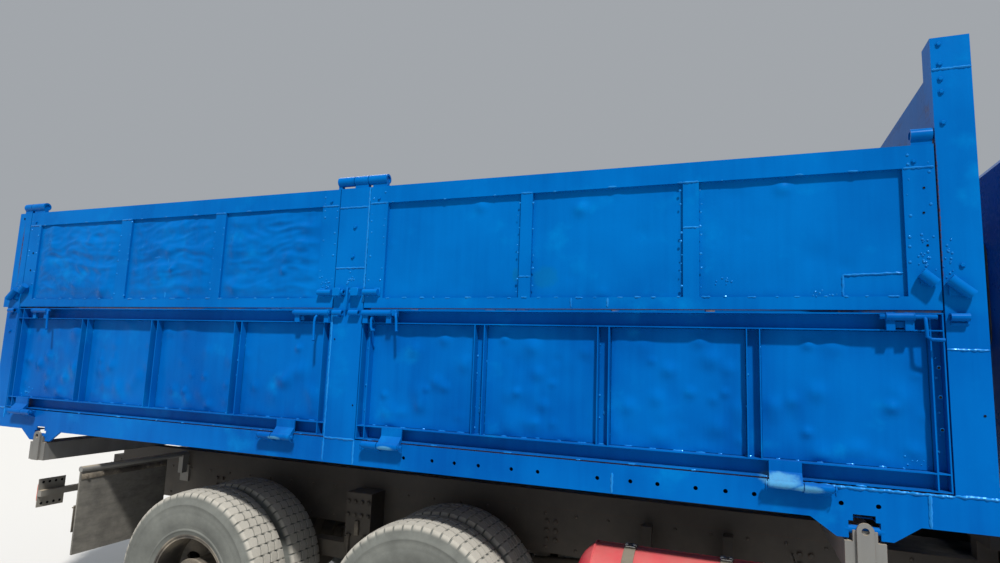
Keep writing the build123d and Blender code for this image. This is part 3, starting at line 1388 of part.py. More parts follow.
def door_hinge(side, height, fixed):
    """Half of a door hinge: the cab's knuckle and pin, or the door's knuckle."""
    x = bx(DOOR_FRONT) + DOOR_GAP / 2
    y = side * (CAB_HALF_WIDTH + DOOR_HINGE_OUT)
    leaf_y = sorted((side * CAB_HALF_WIDTH, side * (CAB_HALF_WIDTH + LEAF)))
    neck_y = sorted((side * CAB_HALF_WIDTH, y))
    pin_top = height + 2 * DOOR_KNUCKLE + KNUCKLE_GAP
    if fixed:
        z = (height, height + DOOR_KNUCKLE)
        pin = rod((x, y, height), (x, y, pin_top), DOOR_PIN_R)
        leaf = block((x, x + DOOR_HINGE_LEAF), leaf_y, z) + block((x, x + DOOR_BARREL_R), neck_y, z)
        return rod((x, y, z[0]), (x, y, z[1]), DOOR_BARREL_R) + leaf + pin
    z = (height + DOOR_KNUCKLE + KNUCKLE_GAP, pin_top)
    edge = x - DOOR_BARREL_R + DOOR_GAP / 2
    leaf = block((x - DOOR_HINGE_LEAF - DOOR_GAP, edge), leaf_y, z)
    leaf = leaf + block((x - DOOR_BARREL_R, edge + DOOR_GAP), neck_y, z)
    whole = rod((x, y, z[0]), (x, y, z[1]), DOOR_BARREL_R) + leaf
    return whole - rod((x, y, z[0] - 1), (x, y, z[1] + 1), DOOR_PIN_R + HINGE_PLAY)


def door(side):
    """Door as thick as the cab's wall, with its window cut, handle and two hinge knuckles."""
    outer = CAB_HALF_WIDTH
    y = sorted((side * (outer - CAB_WALL), side * outer))
    panel = door_prism(DOOR_GAP, *y)
    panel = panel - door_window(y[0] - 1, y[1] + 1)
    for height in DOOR_HINGES:
        panel = panel + door_hinge(side, height, False)
    handle_x = bx(DOOR_REAR) + HANDLE[0]
    handle_y = sorted((side * outer, side * (outer + HANDLE[2])))
    return panel + block((handle_x, handle_x + HANDLE[1]), handle_y, (HANDLE_Z, HANDLE_Z + HANDLE[2]))


def door_window(y0, y1):
    """Window opening of a door."""
    front = bx(DOOR_FRONT) - DOOR_FRAME
    rear = bx(DOOR_REAR) + DOOR_FRAME
    low, high = DOOR_GLASS_Z
    outline = [(front - DOOR_FRAME / 7, low), (front - DOOR_RAKE, high), (rear, high), (rear, low)]
    return prism_y(outline, y0, y1)


def door_glass(side):
    """Pane in a door's window."""
    middle = side * (CAB_HALF_WIDTH - GLASS_DEPTH)
    return door_window(middle - GLASS / 2, middle + GLASS / 2)


def cab_glass():
    """Windscreen, rear pane and the two quarter panes."""
    skin = prism_y(cab_outline(CAB_WALL / 2 - GLASS / 2), -SCREEN[1], SCREEN[1])
    skin = skin - prism_y(cab_outline(CAB_WALL / 2 + GLASS / 2), -SCREEN[1] - 1, SCREEN[1] + 1)
    front = bx(CAB_FRONT)
    panes = [skin & block((front - SCREEN_CUT, front + 1), (-SCREEN[1], SCREEN[1]), SCREEN[0])]
    rear_y, rear_z = REAR_GLASS
    middle = bx(CAB_REAR) + CAB_WALL / 2
    panes.append(block((middle - GLASS / 2, middle + GLASS / 2), (-rear_y, rear_y), rear_z))
    for side in (-1, 1):
        middle = side * (CAB_HALF_WIDTH - GLASS_DEPTH)
        x = (bx(SIDE_GLASS[0][0]), bx(SIDE_GLASS[0][1]))
        panes.append(block(x, (middle - GLASS / 2, middle + GLASS / 2), SIDE_GLASS[1]))
    return panes


def seats():
    """Driver's seat and passenger's seat on their boxes over the wheels."""
    x0 = bx(SEAT_REAR)
    x1 = x0 + SEAT_LENGTH
    under = SEAT_TOP - SEAT_CUSHION
    whole = []
    for side in (-1, 1):
        y = sorted(side * edge for edge in SEAT_Y)
        base = block((x0, x1), y, (CAB_FLOOR + CAB_WALL + DOOR_SILL, under))
        arch = rod_y(bx(FRONT_AXLE_X), y[0] - 1, y[1] + 1, AXLE_Z, ARCH_R + CAB_WALL + HUB_PLAY)
        cushion = block((x0, x1 + SEAT_OVER), y, (under, SEAT_TOP))
        back_x = (x0 - SEAT_CUSHION + SEAT_OVER, x0 + SEAT_OVER)
        back = block(back_x, y, (SEAT_TOP - SEAT_OVER, SEAT_TOP + SEAT_BACK))
        whole.append((base - arch) + cushion + back)
    return whole


def dashboard():
    """Dashboard across the cab, with the steering wheel on its column."""
    x1 = bx(CAB_FRONT) - DASH_GAP
    x0 = x1 - DASH_DEPTH
    z0, z1 = DASH_Z
    outline = [
        (x0, z0), (x0, z1 - DASH_EDGE), (x0 + DASH_EDGE, z1), (x1, z1),
        (x1, z0 + 2 * DASH_EDGE), (x0 + 3 * DASH_EDGE, z0),
    ]
    dash = prism_y(outline, -DASH_HALF, DASH_HALF)
    lean = Plane(origin=(x0 + DASH_EDGE / 3, WHEEL_Y, z1 - 1.5 * DASH_EDGE), z_dir=COLUMN_LEAN)
    column = lean * Cylinder(COLUMN_R, COLUMN, align=(Align.CENTER, Align.CENTER, Align.MIN))
    hub = Pos(0, 0, COLUMN - STEERING_GRIP_R)
    ring = lean * hub * Torus(STEERING_R, STEERING_GRIP_R)
    spokes = lean * hub * Box(2 * STEERING_R, 3 * STEERING_GRIP_R, STEERING_GRIP_R)
    return dash + column + ring + spokes


def mirror_set():
    """Left mirror on two arms from the cab's front pillar."""
    x0, x1 = bx(MIRROR_X[0]), bx(MIRROR_X[1])
    z0, z1 = MIRROR_Z
    middle = (x0 + x1) / 2
    pieces = [block((x0, x1), MIRROR_Y, MIRROR_Z)]
    for height in (z0 + MIRROR_INSET, z1 - MIRROR_INSET):
        pieces.append(rod_y(middle, MIRROR_FOOT_Y, MIRROR_Y[0] + 2, height, MIRROR_ARM_R))
    foot_z = z0 - 4 * MIRROR_INSET
    post = rod((middle, MIRROR_FOOT_Y, foot_z), (middle, MIRROR_FOOT_Y, z1), MIRROR_ARM_R + 3)
    foot = rod_y(middle, CAB_HALF_WIDTH, MIRROR_FOOT_Y, foot_z + MIRROR_INSET, MIRROR_ARM_R)
    return joined(pieces) + post + foot


# Hoist


def hoist_stage(number):
    """One tube of the hoist; stage 0 is the barrel and the last is the ram with its ball."""
    x = bx(HOIST_X)
    radius = HOIST_RADII[number]
    low = HOIST_FEET[number]
    high = HOIST_HEADS[number]
    stage = rod((x, 0, low), (x, 0, high), radius)
    if number + 1 < len(HOIST_RADII):
        bore = HOIST_RADII[number + 1] + HUB_PLAY
        stage = stage - rod((x, 0, low + HOIST_BOTTOM), (x, 0, high + 1), bore)
    else:
        neck = rod((x, 0, high), (x, 0, HOIST_HEAD_Z), HOIST_BALL_R * 2 / 3)
        stage = stage + neck + Pos(x, 0, HOIST_HEAD_Z) * Sphere(HOIST_BALL_R)
    if number == 0:
        reach = radius + TRUNNION_GAP + EAR
        trunnions = rod_x(x - reach, x + reach, 0, HOIST_BASE_Z, TRUNNION_R)
        stage = stage + (trunnions - rod((x, 0, low), (x, 0, high), radius - 1))
    return stage


# Every sub-part of the lorry: the name of its node and the solids in it

def both(piece):
    """A left-hand piece and its mirror image."""
    return [piece, other_side(piece)]


def lorry():
    """Table of nodes."""
    nodes = {
        "bed_floor": bed_floor(),
        "bed_sills": both(bed_sill()),
        "bed_front_wall": [front_wall()],
        "bed_rear_wall": [rear_wall()],
        "frame_rails": both(frame_rail()),
        "frame_crossmembers": crossmembers(),
        "subframe_rails": both(subframe_rail()),
        "tip_beams": [tip_beam(PIVOT_REAR), tip_beam(PIVOT_FRONT)],
        "drive_axles": [drive_axle(REAR_AXLE_X), drive_axle(MIDDLE_AXLE_X)],
        "leaf_springs": both(rear_spring()) + both(front_spring()),
        "front_axle": [front_axle()],
        "engine": [engine()],
        "drive_shafts": drive_shafts(),
        "gas_cylinder": [gas_cylinder()],
        "tank_arms": gas_straps() + side_arms(),
        "fuel_tank": [fuel_tank()],
        "battery_box": [battery_box()],
        "rear_bars": both(flap_bar()) + both(lamp_bar()),
        "mudflaps": both(mudflap()),
        "tail_lamps": both(tail_lamp()),
        "bumper": [bumper()],
        "headlamps": both(headlamp()),
        "steps": both(steps()),
        "cab_rest": [cab_rest()],
        "cab_shell": [cab_shell()],
        "cab_glass": cab_glass(),
        "cab_seats": seats(),
        "cab_dashboard": [dashboard()],
        "cab_mirrors": both(mirror_set()),
    }
    posts = bed_posts()
    nodes["bed_posts"] = posts + [other_side(post) for post in posts]
    for end in ("rear", "front"):
        lower = lower_board(end)
        upper = upper_board(end)
        nodes[f"lower_board_left_{end}"] = [lower]
        nodes[f"lower_board_right_{end}"] = [other_side(lower)]
        nodes[f"upper_board_left_{end}"] = [upper]
        nodes[f"upper_board_right_{end}"] = [other_side(upper)]
    for name, side in (("left", 1), ("right", -1)):
        nodes[f"door_{name}"] = [door(side)]
        nodes[f"door_{name}_glass"] = [door_glass(side)]
    knuckle = steering_knuckle()
    wheels = {
        "front": (front_rim(), [tyre(bx(FRONT_AXLE_X), FRONT_WHEEL_Y)]),
        "middle": (rear_rims(MIDDLE_AXLE_X), rear_tyres(MIDDLE_AXLE_X)),
        "rear": (rear_rims(REAR_AXLE_X), rear_tyres(REAR_AXLE_X)),
    }
    nodes["knuckle_left"] = [knuckle]
    nodes["knuckle_right"] = [other_side(knuckle)]
    for place, (rims, tyres) in wheels.items():
        nodes[f"rims_{place}_left"] = [rims]
        nodes[f"rims_{place}_right"] = [other_side(rims)]
        nodes[f"tyres_{place}_left"] = tyres
        nodes[f"tyres_{place}_right"] = [other_side(one) for one in tyres]
    for number, name in enumerate(("barrel", "stage_1", "stage_2", "ram")):
        nodes[f"hoist_{name}"] = [hoist_stage(number)]
    return nodes


os.makedirs("parts", exist_ok=True)
for node, solids in lorry().items():
    export_step(apart(solids), f"parts/{node}.step")
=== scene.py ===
# %% [markdown]
# A farm dump truck, dressed
#
# The construction of the truck is already there as a frame of fixed solids: every board, post,
# rail and wheel at its real size. This lesson puts the looks on it, one finish or piece at a
# time. Each step first says what the thing is on the real truck and how it could be made.
# Places on the bed are given as someone with a tape would read them: millimetres ahead of its
# rear end, and above the underside of its sill. Everything else is in metres.

# %% Load the frame and measure it
import math
import random

import bmesh
import bpy
from mathutils import Matrix, Vector, noise


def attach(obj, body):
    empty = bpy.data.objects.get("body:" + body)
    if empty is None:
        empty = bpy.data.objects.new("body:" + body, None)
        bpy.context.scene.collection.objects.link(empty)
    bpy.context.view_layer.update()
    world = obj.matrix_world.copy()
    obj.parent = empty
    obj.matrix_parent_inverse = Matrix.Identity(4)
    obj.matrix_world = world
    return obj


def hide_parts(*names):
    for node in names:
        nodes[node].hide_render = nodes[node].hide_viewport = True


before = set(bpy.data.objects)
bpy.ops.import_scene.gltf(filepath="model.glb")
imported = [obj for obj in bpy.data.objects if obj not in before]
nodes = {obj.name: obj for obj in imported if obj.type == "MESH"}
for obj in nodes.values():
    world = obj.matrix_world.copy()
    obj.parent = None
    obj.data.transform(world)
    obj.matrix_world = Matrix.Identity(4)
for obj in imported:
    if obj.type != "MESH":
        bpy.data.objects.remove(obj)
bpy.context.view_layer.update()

# The frame's origin: millimetres ahead of the bed's rear end and below the sill's underside
ORIGIN_AHEAD, ORIGIN_BELOW = 3700, 1290


def bx(distance):
    """X in metres of a point so many millimetres ahead of the bed's rear end."""
    return (distance - ORIGIN_AHEAD) / 1000


def bz(height):
    """Z in metres of a point so many millimetres above the sill's underside."""
    return (ORIGIN_BELOW + height) / 1000


# %% [markdown]
# The view. The photograph was taken close to the truck's right side by someone standing beside
# the gas cylinder and looking back along the bed. A camera could be placed by eye, but here its
# place and its three angles are known from the straight edges of the bed, so they are written
# down as numbers a surveyor would give: where it stands, how far it turns, lifts and leans.

# %% Camera
PHOTO_SIZE = (1000, 563)
FOCAL_PIXELS = 612.24
SENSOR_MM = 36.0
CAMERA_AT = Vector((1.021, -4.015, 1.839))
TURN_DEG = -20.95
LIFT_DEG = 7.515
LEAN_DEG = 2.137


def view_axes(turn, lift, lean):
    """Right, up and back vectors of a camera that faces +Y before it turns."""
    ahead = Vector((math.sin(turn) * math.cos(lift), math.cos(turn) * math.cos(lift), math.sin(lift)))
    level_right = ahead.cross(Vector((0, 0, 1))).normalized()
    level_up = level_right.cross(ahead)
    right = level_right * math.cos(lean) + level_up * math.sin(lean)
    up = right.cross(ahead)
    return right, up, -ahead


camera_data = bpy.data.cameras.new("camera")
camera_data.sensor_width = SENSOR_MM
camera_data.lens = SENSOR_MM * FOCAL_PIXELS / PHOTO_SIZE[0]
camera_data.clip_start = 0.05
camera_data.clip_end = 200.0
camera = bpy.data.objects.new("camera", camera_data)
bpy.context.scene.collection.objects.link(camera)
axes = view_axes(*[math.radians(angle) for angle in (TURN_DEG, LIFT_DEG, LEAN_DEG)])
camera.matrix_world = Matrix.Translation(CAMERA_AT) @ Matrix(axes).transposed().to_4x4()
bpy.context.scene.camera = camera
print("lens", round(camera_data.lens, 2), "mm")

# %% [markdown]
# Shader maths in Python. A material is a graph of nodes, and a long graph wired by hand is hard
# to read. A small class that wraps one socket and knows plus, minus, times and the rest lets a
# mask be written as an expression, and every other node comes from one method.

# %% A socket that can be calculated with
def as_socket(value):
    """The bare socket or number inside a value."""
    return value.socket if isinstance(value, Wire) else value


def operator(name, swapped=False):
    """A method that puts one maths node after a socket; a sine has no use for the other value."""
    def method(self, other=0.5):
        first, second = (other, self) if swapped else (self, other)
        return self.maths(name, first, second)
    return method


class Wire:
    """One output socket of a node, with arithmetic."""

    __add__, __radd__ = operator("ADD"), operator("ADD", True)
    __sub__, __rsub__ = operator("SUBTRACT"), operator("SUBTRACT", True)
    __mul__, __rmul__ = operator("MULTIPLY"), operator("MULTIPLY", True)
    __gt__, __lt__ = operator("GREATER_THAN"), operator("LESS_THAN")
    high, sine = operator("MAXIMUM"), operator("SINE")

    def __init__(self, graph, socket):
        self.graph = graph
        self.socket = socket

    def maths(self, operation, first, second, clamp=False):
        settings = {"operation": operation, "use_clamp": clamp}
        return self.graph.node("ShaderNodeMath", settings, {0: first, 1: second})

    def clamp(self):
        return self.maths("ADD", self, 0.0, clamp=True)

    def ramp(self, start, end):
        """0 below start, 1 above end, smooth between; start may be the larger."""
        settings = {"interpolation_type": "SMOOTHSTEP"}
        low, high, out_low, out_high = (start, end, 0.0, 1.0) if start < end else (end, start, 1.0, 0.0)
        values = {"Value": self, "From Min": low, "From Max": high, "To Min": out_low, "To Max": out_high}
        return self.graph.node("ShaderNodeMapRange", settings, values, "Result")


class Graph:
    """The nodes of one material."""

    def __init__(self, name):
        self.material = bpy.data.materials.new(name)
        self.material.use_nodes = True
        self.tree = self.material.node_tree
        self.tree.nodes.clear()

    def node(self, kind, settings=None, values=None, output=0):
        """Adds a node: settings first, then the values or links of its sockets."""
        made = self.tree.nodes.new(kind)
        for name, setting in (settings or {}).items():
            setattr(made, name, setting)
        for name, value in (values or {}).items():
            value = as_socket(value)
            socket = made.inputs[name]
            if isinstance(value, bpy.types.NodeSocket):
                self.tree.links.new(value, socket)
            else:
                socket.default_value = value
        return Wire(self, made.outputs[output])

    def place(self):
        """Where on the object a point is, in metres."""
        return self.node("ShaderNodeTexCoord", output="Object")

    def parts(self, vector):
        """The three numbers of a vector."""
        first = self.node("ShaderNodeSeparateXYZ", {}, {0: vector}, 0)
        tree_node = first.socket.node
        return [Wire(self, tree_node.outputs[number]) for number in range(3)]

    def stretch(self, vector, scale):
        """A vector scaled, to draw a texture out along one way."""
        return self.node("ShaderNodeMapping", {}, {"Vector": vector, "Scale": scale})

    def noise(self, vector, scale, detail, rough=0.55):
        """Cloudy noise between about 0.2 and 0.8."""
        values = {"Vector": vector, "Scale": scale, "Detail": detail, "Roughness": rough}
        return self.node("ShaderNodeTexNoise", {}, values, "Fac")

    def cells(self, vector, scale, feature="F1"):
        """Distance to the nearest of scattered points, or to the edges between them."""
        values = {"Vector": vector, "Scale": scale}
        return self.node("ShaderNodeTexVoronoi", {"feature": feature}, values, "Distance")

    def mix(self, share, first, second):
        """Colour between two colours."""
        return self.node("ShaderNodeMix", {"data_type": "RGBA"}, {0: share, 6: first, 7: second}, 2)

    def bump(self, height, strength, distance):
        """A normal bent by a height."""
        values = {"Height": height, "Strength": strength, "Distance": distance}
        return self.node("ShaderNodeBump", {}, values, "Normal")

    def edges(self, radius):
        """1 on sharp edges and 0 on flats, from a rounded normal."""
        rounded = self.node("ShaderNodeBevel", {"samples": 4}, {"Radius": radius})
        true = self.node("ShaderNodeNewGeometry", output="True Normal")
        settings = {"operation": "DOT_PRODUCT"}
        dot = self.node("ShaderNodeVectorMath", settings, {0: rounded, 1: true}, "Value")
        return (1.0 - dot).ramp(0.02, 0.18)

    def surface(self, **values):
        """Ends the material in a Principled shader."""
        names = {key.replace("_", " "): value for key, value in values.items()}
        shader = self.node("ShaderNodeBsdfPrincipled", {}, names, "BSDF")
        end = self.tree.nodes.new("ShaderNodeOutputMaterial")
        self.tree.links.new(shader.socket, end.inputs["Surface"])
        return self.material


print("shader maths ready")

# %% [markdown]
# Paint on steel. The bed was sprayed and brushed over old, dented sheets, so its blue is a
# little uneven: cloudy patches, faint vertical runs, dust low down and on ledges, and small
# chips with rust where edges rub. One function can make all the paints of the truck, because
# the grey beams, the black frame and the red cylinder differ only in colour, dirt and wear.

# %% Colours measured, as linear light
def linear(red, green, blue):
    """Linear colour from the 0 to 255 values that a screen shows."""
    values = []
    for level in (red, green, blue):
        share = level / 255
        values.append(share / 12.92 if share <= 0.04045 else ((share + 0.055) / 1.055) ** 2.4)
    return (*values, 1.0)


BED_BLUE = linear(1, 95, 174)
BED_BLUE_DEEP = linear(1, 72, 148)
BED_BLUE_FADED = linear(2, 124, 196)
CAB_BLUE = linear(1, 94, 170)
RUST = linear(92, 52, 30)
RUST_DARK = linear(52, 33, 24)
DUST = linear(158, 148, 130)
FRAME_BLACK = linear(32, 30, 32)
BEAM_GREY = linear(116, 118, 118)
TANK_RED = linear(206, 30, 62)
BLUE_SHINE = (0.12, 0.42, 1.0, 1.0)
# Kind of wear: colour that comes through, how strongly, share that rusts
WEAR_KINDS = (
    ("green", linear(10, 98, 142), 0.35, 0.0), ("burnt", linear(58, 50, 50), 0.6, 0.8),
    ("pale", linear(92, 164, 200), 0.6, 0.08),
)
print("bed blue", [round(level, 3) for level in BED_BLUE])


# %% Painted steel
# Rubbed places of the bed: along, up, half width, half height in millimetres, kind of wear
SPOTS = (
    (3885, 960, 75, 62, "green"), (3735, 975, 20, 40, "green"), (4890, 128, 84, 34, "pale"),
    (4990, 104, 60, 20, "pale"), (3100, 104, 50, 14, "pale"), (2420, 104, 44, 12, "pale"),
    (5475, 1190, 5, 340, "burnt"), (60, 1180, 7, 240, "burnt"),
)
SPOTTED_SIDE_Y = -1.1
# Inside of the bed: half width squared of its walls and just within, floor, rear and front wall, in metres
WALL_Y2, WITHIN_Y2 = 1.4448, 1.4412
FLOOR_LOW, FLOOR_HIGH = 1.395, 1.41
REAR_X, FRONT_X = -3.6945, 1.8605
# Foot of the raised boards, whose blue has faded a little
RAISED_LOW, RAISED_HIGH = 2.06, 2.12


def rubbed(graph, place, spots):
    """1 inside ragged ovals where a sheet was rubbed or burnt, on the right side only."""
    x, y, z = graph.parts(place)
    ragged = graph.noise(place, 22.0, 5.0, 0.7) * 1.4
    found = None
    for spot_x, spot_z, half_wide, half_tall, _ in spots:
        along = (x - bx(spot_x)) * (1000 / half_wide)
        up = (z - bz(spot_z)) * (1000 / half_tall)
        inside = (along * along + up * up + ragged).ramp(1.75, 0.95)
        found = inside.high(found) if found else inside
    return found * (y < SPOTTED_SIDE_Y)


def scoured(graph, place, grit):
    """Where a load has worn the bed's inner faces, 0 outside the bed, and the colour there."""
    ahead, out, height = graph.parts(place)
    scours = graph.noise(graph.stretch(place, (2.2, 2.2, 7.0)), 1.0, 8.0, 0.7)
    within = (out * out).ramp(WALL_Y2, WITHIN_Y2) * height.ramp(FLOOR_LOW, FLOOR_HIGH)
    within = within * (ahead > REAR_X) * (ahead < FRONT_X)
    share = within * (scours + height.ramp(2.6, 1.4) * 0.35).ramp(0.5, 0.72)
    return share, graph.mix(grit.ramp(0.4, 0.6), linear(128, 120, 108), linear(104, 74, 52))


def painted(
    name, colour, deep, faded, gloss, rust, dust, shine=(1, 1, 1, 1), spots=(), inside=0.0, polish=0.5,
):
    """Enamel on steel with runs, chips, rust and dust; inside is how worn a load has left the bed."""
    graph = Graph(name)
    place = graph.place()
    _, _, height = graph.parts(place)
    cloud = graph.noise(place, 1.7, 3.0)
    runs = graph.noise(graph.stretch(place, (26, 26, 1.6)), 1.0, 3.0)
    peel = graph.noise(place, 260.0, 2.0)
    lumps = graph.noise(place, 34.0, 3.0)
    grit = graph.noise(place, 85.0, 6.0, 0.7)
    tone = graph.mix((cloud * 1.2 + runs * 0.35 - 0.1).ramp(0.25, 0.95), deep, colour)
    tone = graph.mix(graph.noise(place, 5.3, 5.0).ramp(0.56, 0.8) * 0.5, tone, faded)
    if inside:
        tone = graph.mix(height.ramp(RAISED_LOW, RAISED_HIGH) * 0.15, tone, faded)
    chip = (graph.edges(0.003) * (0.35 + grit) - (1.35 - 0.7 * rust)).ramp(0.0, 0.12)
    speck = (graph.cells(place, 24.0) * (0.6 + cloud)).ramp(0.035 + 0.045 * rust, 0.02) * (grit > 0.5)
    bare = chip.high(speck * float(rust > 0.2))
    rust_tone = graph.mix(graph.noise(place, 150.0, 4.0).ramp(0.35, 0.65), RUST_DARK, RUST)
    tone = graph.mix(bare, tone, rust_tone)
    for kind, under, thick, rusty in WEAR_KINDS if spots else ():
        patch = rubbed(graph, place, [row for row in spots if row[4] == kind])
        tone = graph.mix(patch * thick, tone, under)
        tone = graph.mix(patch * (grit > 0.52) * rusty, tone, rust_tone)
        bare = bare.high(patch * rusty * 0.6)
    if inside:
        load, worn = scoured(graph, place, grit)
        load = load * inside
        tone = graph.mix(load, tone, worn)
        bare = bare.high(load)
    up = graph.parts(graph.node("ShaderNodeNewGeometry", output="Normal"))[2]
    ledge = up.ramp(0.35, 0.95) * 0.9
    low = height.ramp(1.5, 0.35) * 0.6
    veil = ((ledge + low) * (0.25 + graph.noise(place, 9.0, 6.0, 0.65) * 1.2) * dust).clamp()
    tone = graph.mix(veil, tone, DUST)
    rough = (gloss + (cloud - 0.5) * 0.16 + bare * 0.45 + veil * 0.5 + (lumps - 0.5) * 0.1).clamp()
    relief = lumps * 0.55 + peel * 0.16 + runs * 0.3 - bare * 0.8
    return graph.surface(
        Base_Color=tone, Roughness=rough, Normal=graph.bump(relief, 0.35, 0.0016), Specular_Tint=shine,
        Specular_IOR_Level=polish,
    )


# Paint: colour, deep, faded, then gloss, rust and dust
PAINTS = {
    # The weld beads' paint: the bed's blue, mixed lighter and glossier as a painted glint on the beads
    "weld_paint_and_glint": (linear(24, 122, 196), BED_BLUE, linear(70, 156, 212), 0.14, 0.1, 0.02, BLUE_SHINE),
    "beam_paint": (BEAM_GREY, linear(84, 86, 86), linear(140, 138, 132), 0.55, 0.9, 0.9),
    "frame_paint": (FRAME_BLACK, linear(24, 19, 20), linear(54, 42, 38), 0.6, 1.0, 0.5),
    "tank_paint": (TANK_RED, linear(168, 18, 46), linear(222, 66, 98), 0.25, 0.3, 0.3),
}
bed_paint = painted(
    "bed_paint", BED_BLUE, BED_BLUE_DEEP, BED_BLUE_FADED, 0.3, 0.12, 0.02, BLUE_SHINE, SPOTS,
    inside=0.9, polish=0.06,
)
cab_paint = painted(
    "cab_paint", CAB_BLUE, BED_BLUE_DEEP, BED_BLUE, 0.28, 0.15, 0.03, BLUE_SHINE, polish=0.15,
)
weld_paint_and_glint, beam_paint, frame_paint, tank_paint = [
    painted(name, *values) for name, values in PAINTS.items()
]
print("paints", [paint.name for paint in (bed_paint, cab_paint, beam_paint, frame_paint, tank_paint)])

# %% [markdown]
# Rubber. Tyres on a farm truck are never black: the side walls are grey with dried mud and the
# tread is almost the colour of the road. The grey could be one colour, but then the tyre looks
# like plastic. Here the tread is dusty and pale where it stands out, and its grooves and cross
# cuts are near-black as painted shade, with scuffs round the side wall.

# %% Rubber, glass, lamps, cloth and the small plain finishes
def rubber(name, colour, dust_share, veil_tone=linear(150, 147, 138)):
    """Dusty rubber."""
    graph = Graph(name)
    place = graph.place()
    cloud = graph.noise(place, 6.0, 6.0, 0.65)
    grain = graph.noise(place, 320.0, 3.0)
    scuff = graph.noise(graph.stretch(place, (30, 8, 30)), 1.0, 5.0, 0.7)
    veil = ((cloud * 0.9 + scuff * 0.6 - 0.35) * dust_share * 1.4).clamp()
    tone = graph.mix(veil, colour, veil_tone)
    rough = (0.72 + veil * 0.25).clamp()
    crack = graph.cells(graph.stretch(place, (90, 90, 90)), 1.0, "DISTANCE_TO_EDGE").ramp(0.07, 0.0)
    relief = grain * 0.4 + scuff * 0.4 - crack * 0.25
    return graph.surface(Base_Color=tone, Roughness=rough, Normal=graph.bump(relief, 0.3, 0.001))


def glass(name, tint, seen_through):
    """Window glass that shows what is behind it, with a little dust."""
    graph = Graph(name)
    place = graph.place()
    film = graph.noise(place, 3.0, 6.0, 0.7).ramp(0.45, 0.8) * 0.08
    tone = graph.mix(film, tint, DUST)
    rough, solid = (0.05 + film * 2).clamp(), (1.0 - seen_through + film).clamp()
    return graph.surface(Base_Color=tone, Roughness=rough, Alpha=solid)


def plain(name, colour, rough, metal, grain, relief, dusty, polish=0.5):
    """Moulded plastic, cast iron or bare steel, never one flat colour."""
    graph = Graph(name)
    place = graph.place()
    cloud = graph.noise(place, 4.0, 5.0, 0.6)
    fine = graph.noise(place, grain, 4.0, 0.6)
    tone = graph.mix((cloud.ramp(0.4, 0.75) * dusty).clamp(), colour, DUST)
    shade = (rough + (fine - 0.5) * 0.2 + (cloud - 0.5) * 0.15).clamp()
    return graph.surface(
        Base_Color=tone, Roughness=shade, Normal=graph.bump(fine, relief, 0.001), Metallic=metal,
        Specular_IOR_Level=polish,
    )


def seat_cloth(name):
    """Ribbed woven cloth."""
    graph = Graph(name)
    place = graph.place()
    _, across, _ = graph.parts(place)
    rib = (across * 420.0).sine() * 0.5 + 0.5
    weave = graph.noise(place, 500.0, 2.0)
    tone = graph.mix(rib.ramp(0.2, 0.8) * 0.6, linear(30, 33, 40), linear(62, 68, 80))
    normal = graph.bump(rib * 0.6 + weave * 0.5, 0.4, 0.0015)
    return graph.surface(Base_Color=tone, Roughness=0.92, Normal=normal)


tyre_rubber = rubber("tyre_rubber", linear(50, 51, 51), 0.95, linear(124, 122, 115))
flap_rubber = rubber("flap_rubber", linear(48, 47, 46), 0.7)
hose_rubber = rubber("hose_rubber", linear(28, 28, 29), 0.3)
window_glass = glass("window_glass", linear(40, 52, 50), 0.72)
lamp_glass = glass("lamp_glass", linear(235, 238, 240), 0.55)
# Plain finish: colour, roughness, metal, size of its grain, relief, dust
PLAINS = {
    "rim_steel": (linear(58, 55, 52), 0.6, 0.0, 45.0, 0.3, 0.7),
    "cast_iron": (linear(52, 49, 46), 0.75, 0.0, 90.0, 0.5, 0.8),
    "bare_steel": (linear(170, 170, 168), 0.28, 1.0, 140.0, 0.08, 0.12),
    "black_trim": (linear(26, 27, 28), 0.5, 0.0, 300.0, 0.2, 0.15),
    "red_lens": (linear(170, 20, 16), 0.18, 0.0, 30.0, 0.05, 0.1),
    "amber_lens": (linear(230, 120, 20), 0.18, 0.0, 30.0, 0.05, 0.1),
    "mirror_glass": (linear(200, 205, 208), 0.06, 1.0, 8.0, 0.02, 0.08),
    "dusty_steel": (linear(62, 57, 52), 0.72, 0.0, 70.0, 0.5, 0.85),
    "plate_white": (linear(206, 206, 200), 0.4, 0.0, 30.0, 0.05, 0.3),
}
(
    rim_steel, cast_iron, bare_steel, black_trim, red_lens, amber_lens, mirror_glass, dusty_steel,
    plate_paint,
) = [plain(name, *values) for name, values in PLAINS.items()]
# Near-black: painted shade inside open holes, behind the sill holes and behind the grille, and the real
# dark seam lines round the cab's lid
painted_shade_and_seam_dark = plain("painted_shade_and_seam_dark", linear(14, 16, 20), 0.8, 0.0, 50.0, 0.3, 0.03, polish=0.02)
cloth = seat_cloth("seat_cloth")
print("finishes", len(bpy.data.materials))

# %% [markdown]
# Finishes on the fixed solids. A solid whose shape is right keeps its mesh, and only its
# material slot changes, so each solid is looked up in a short table by the start of its name.

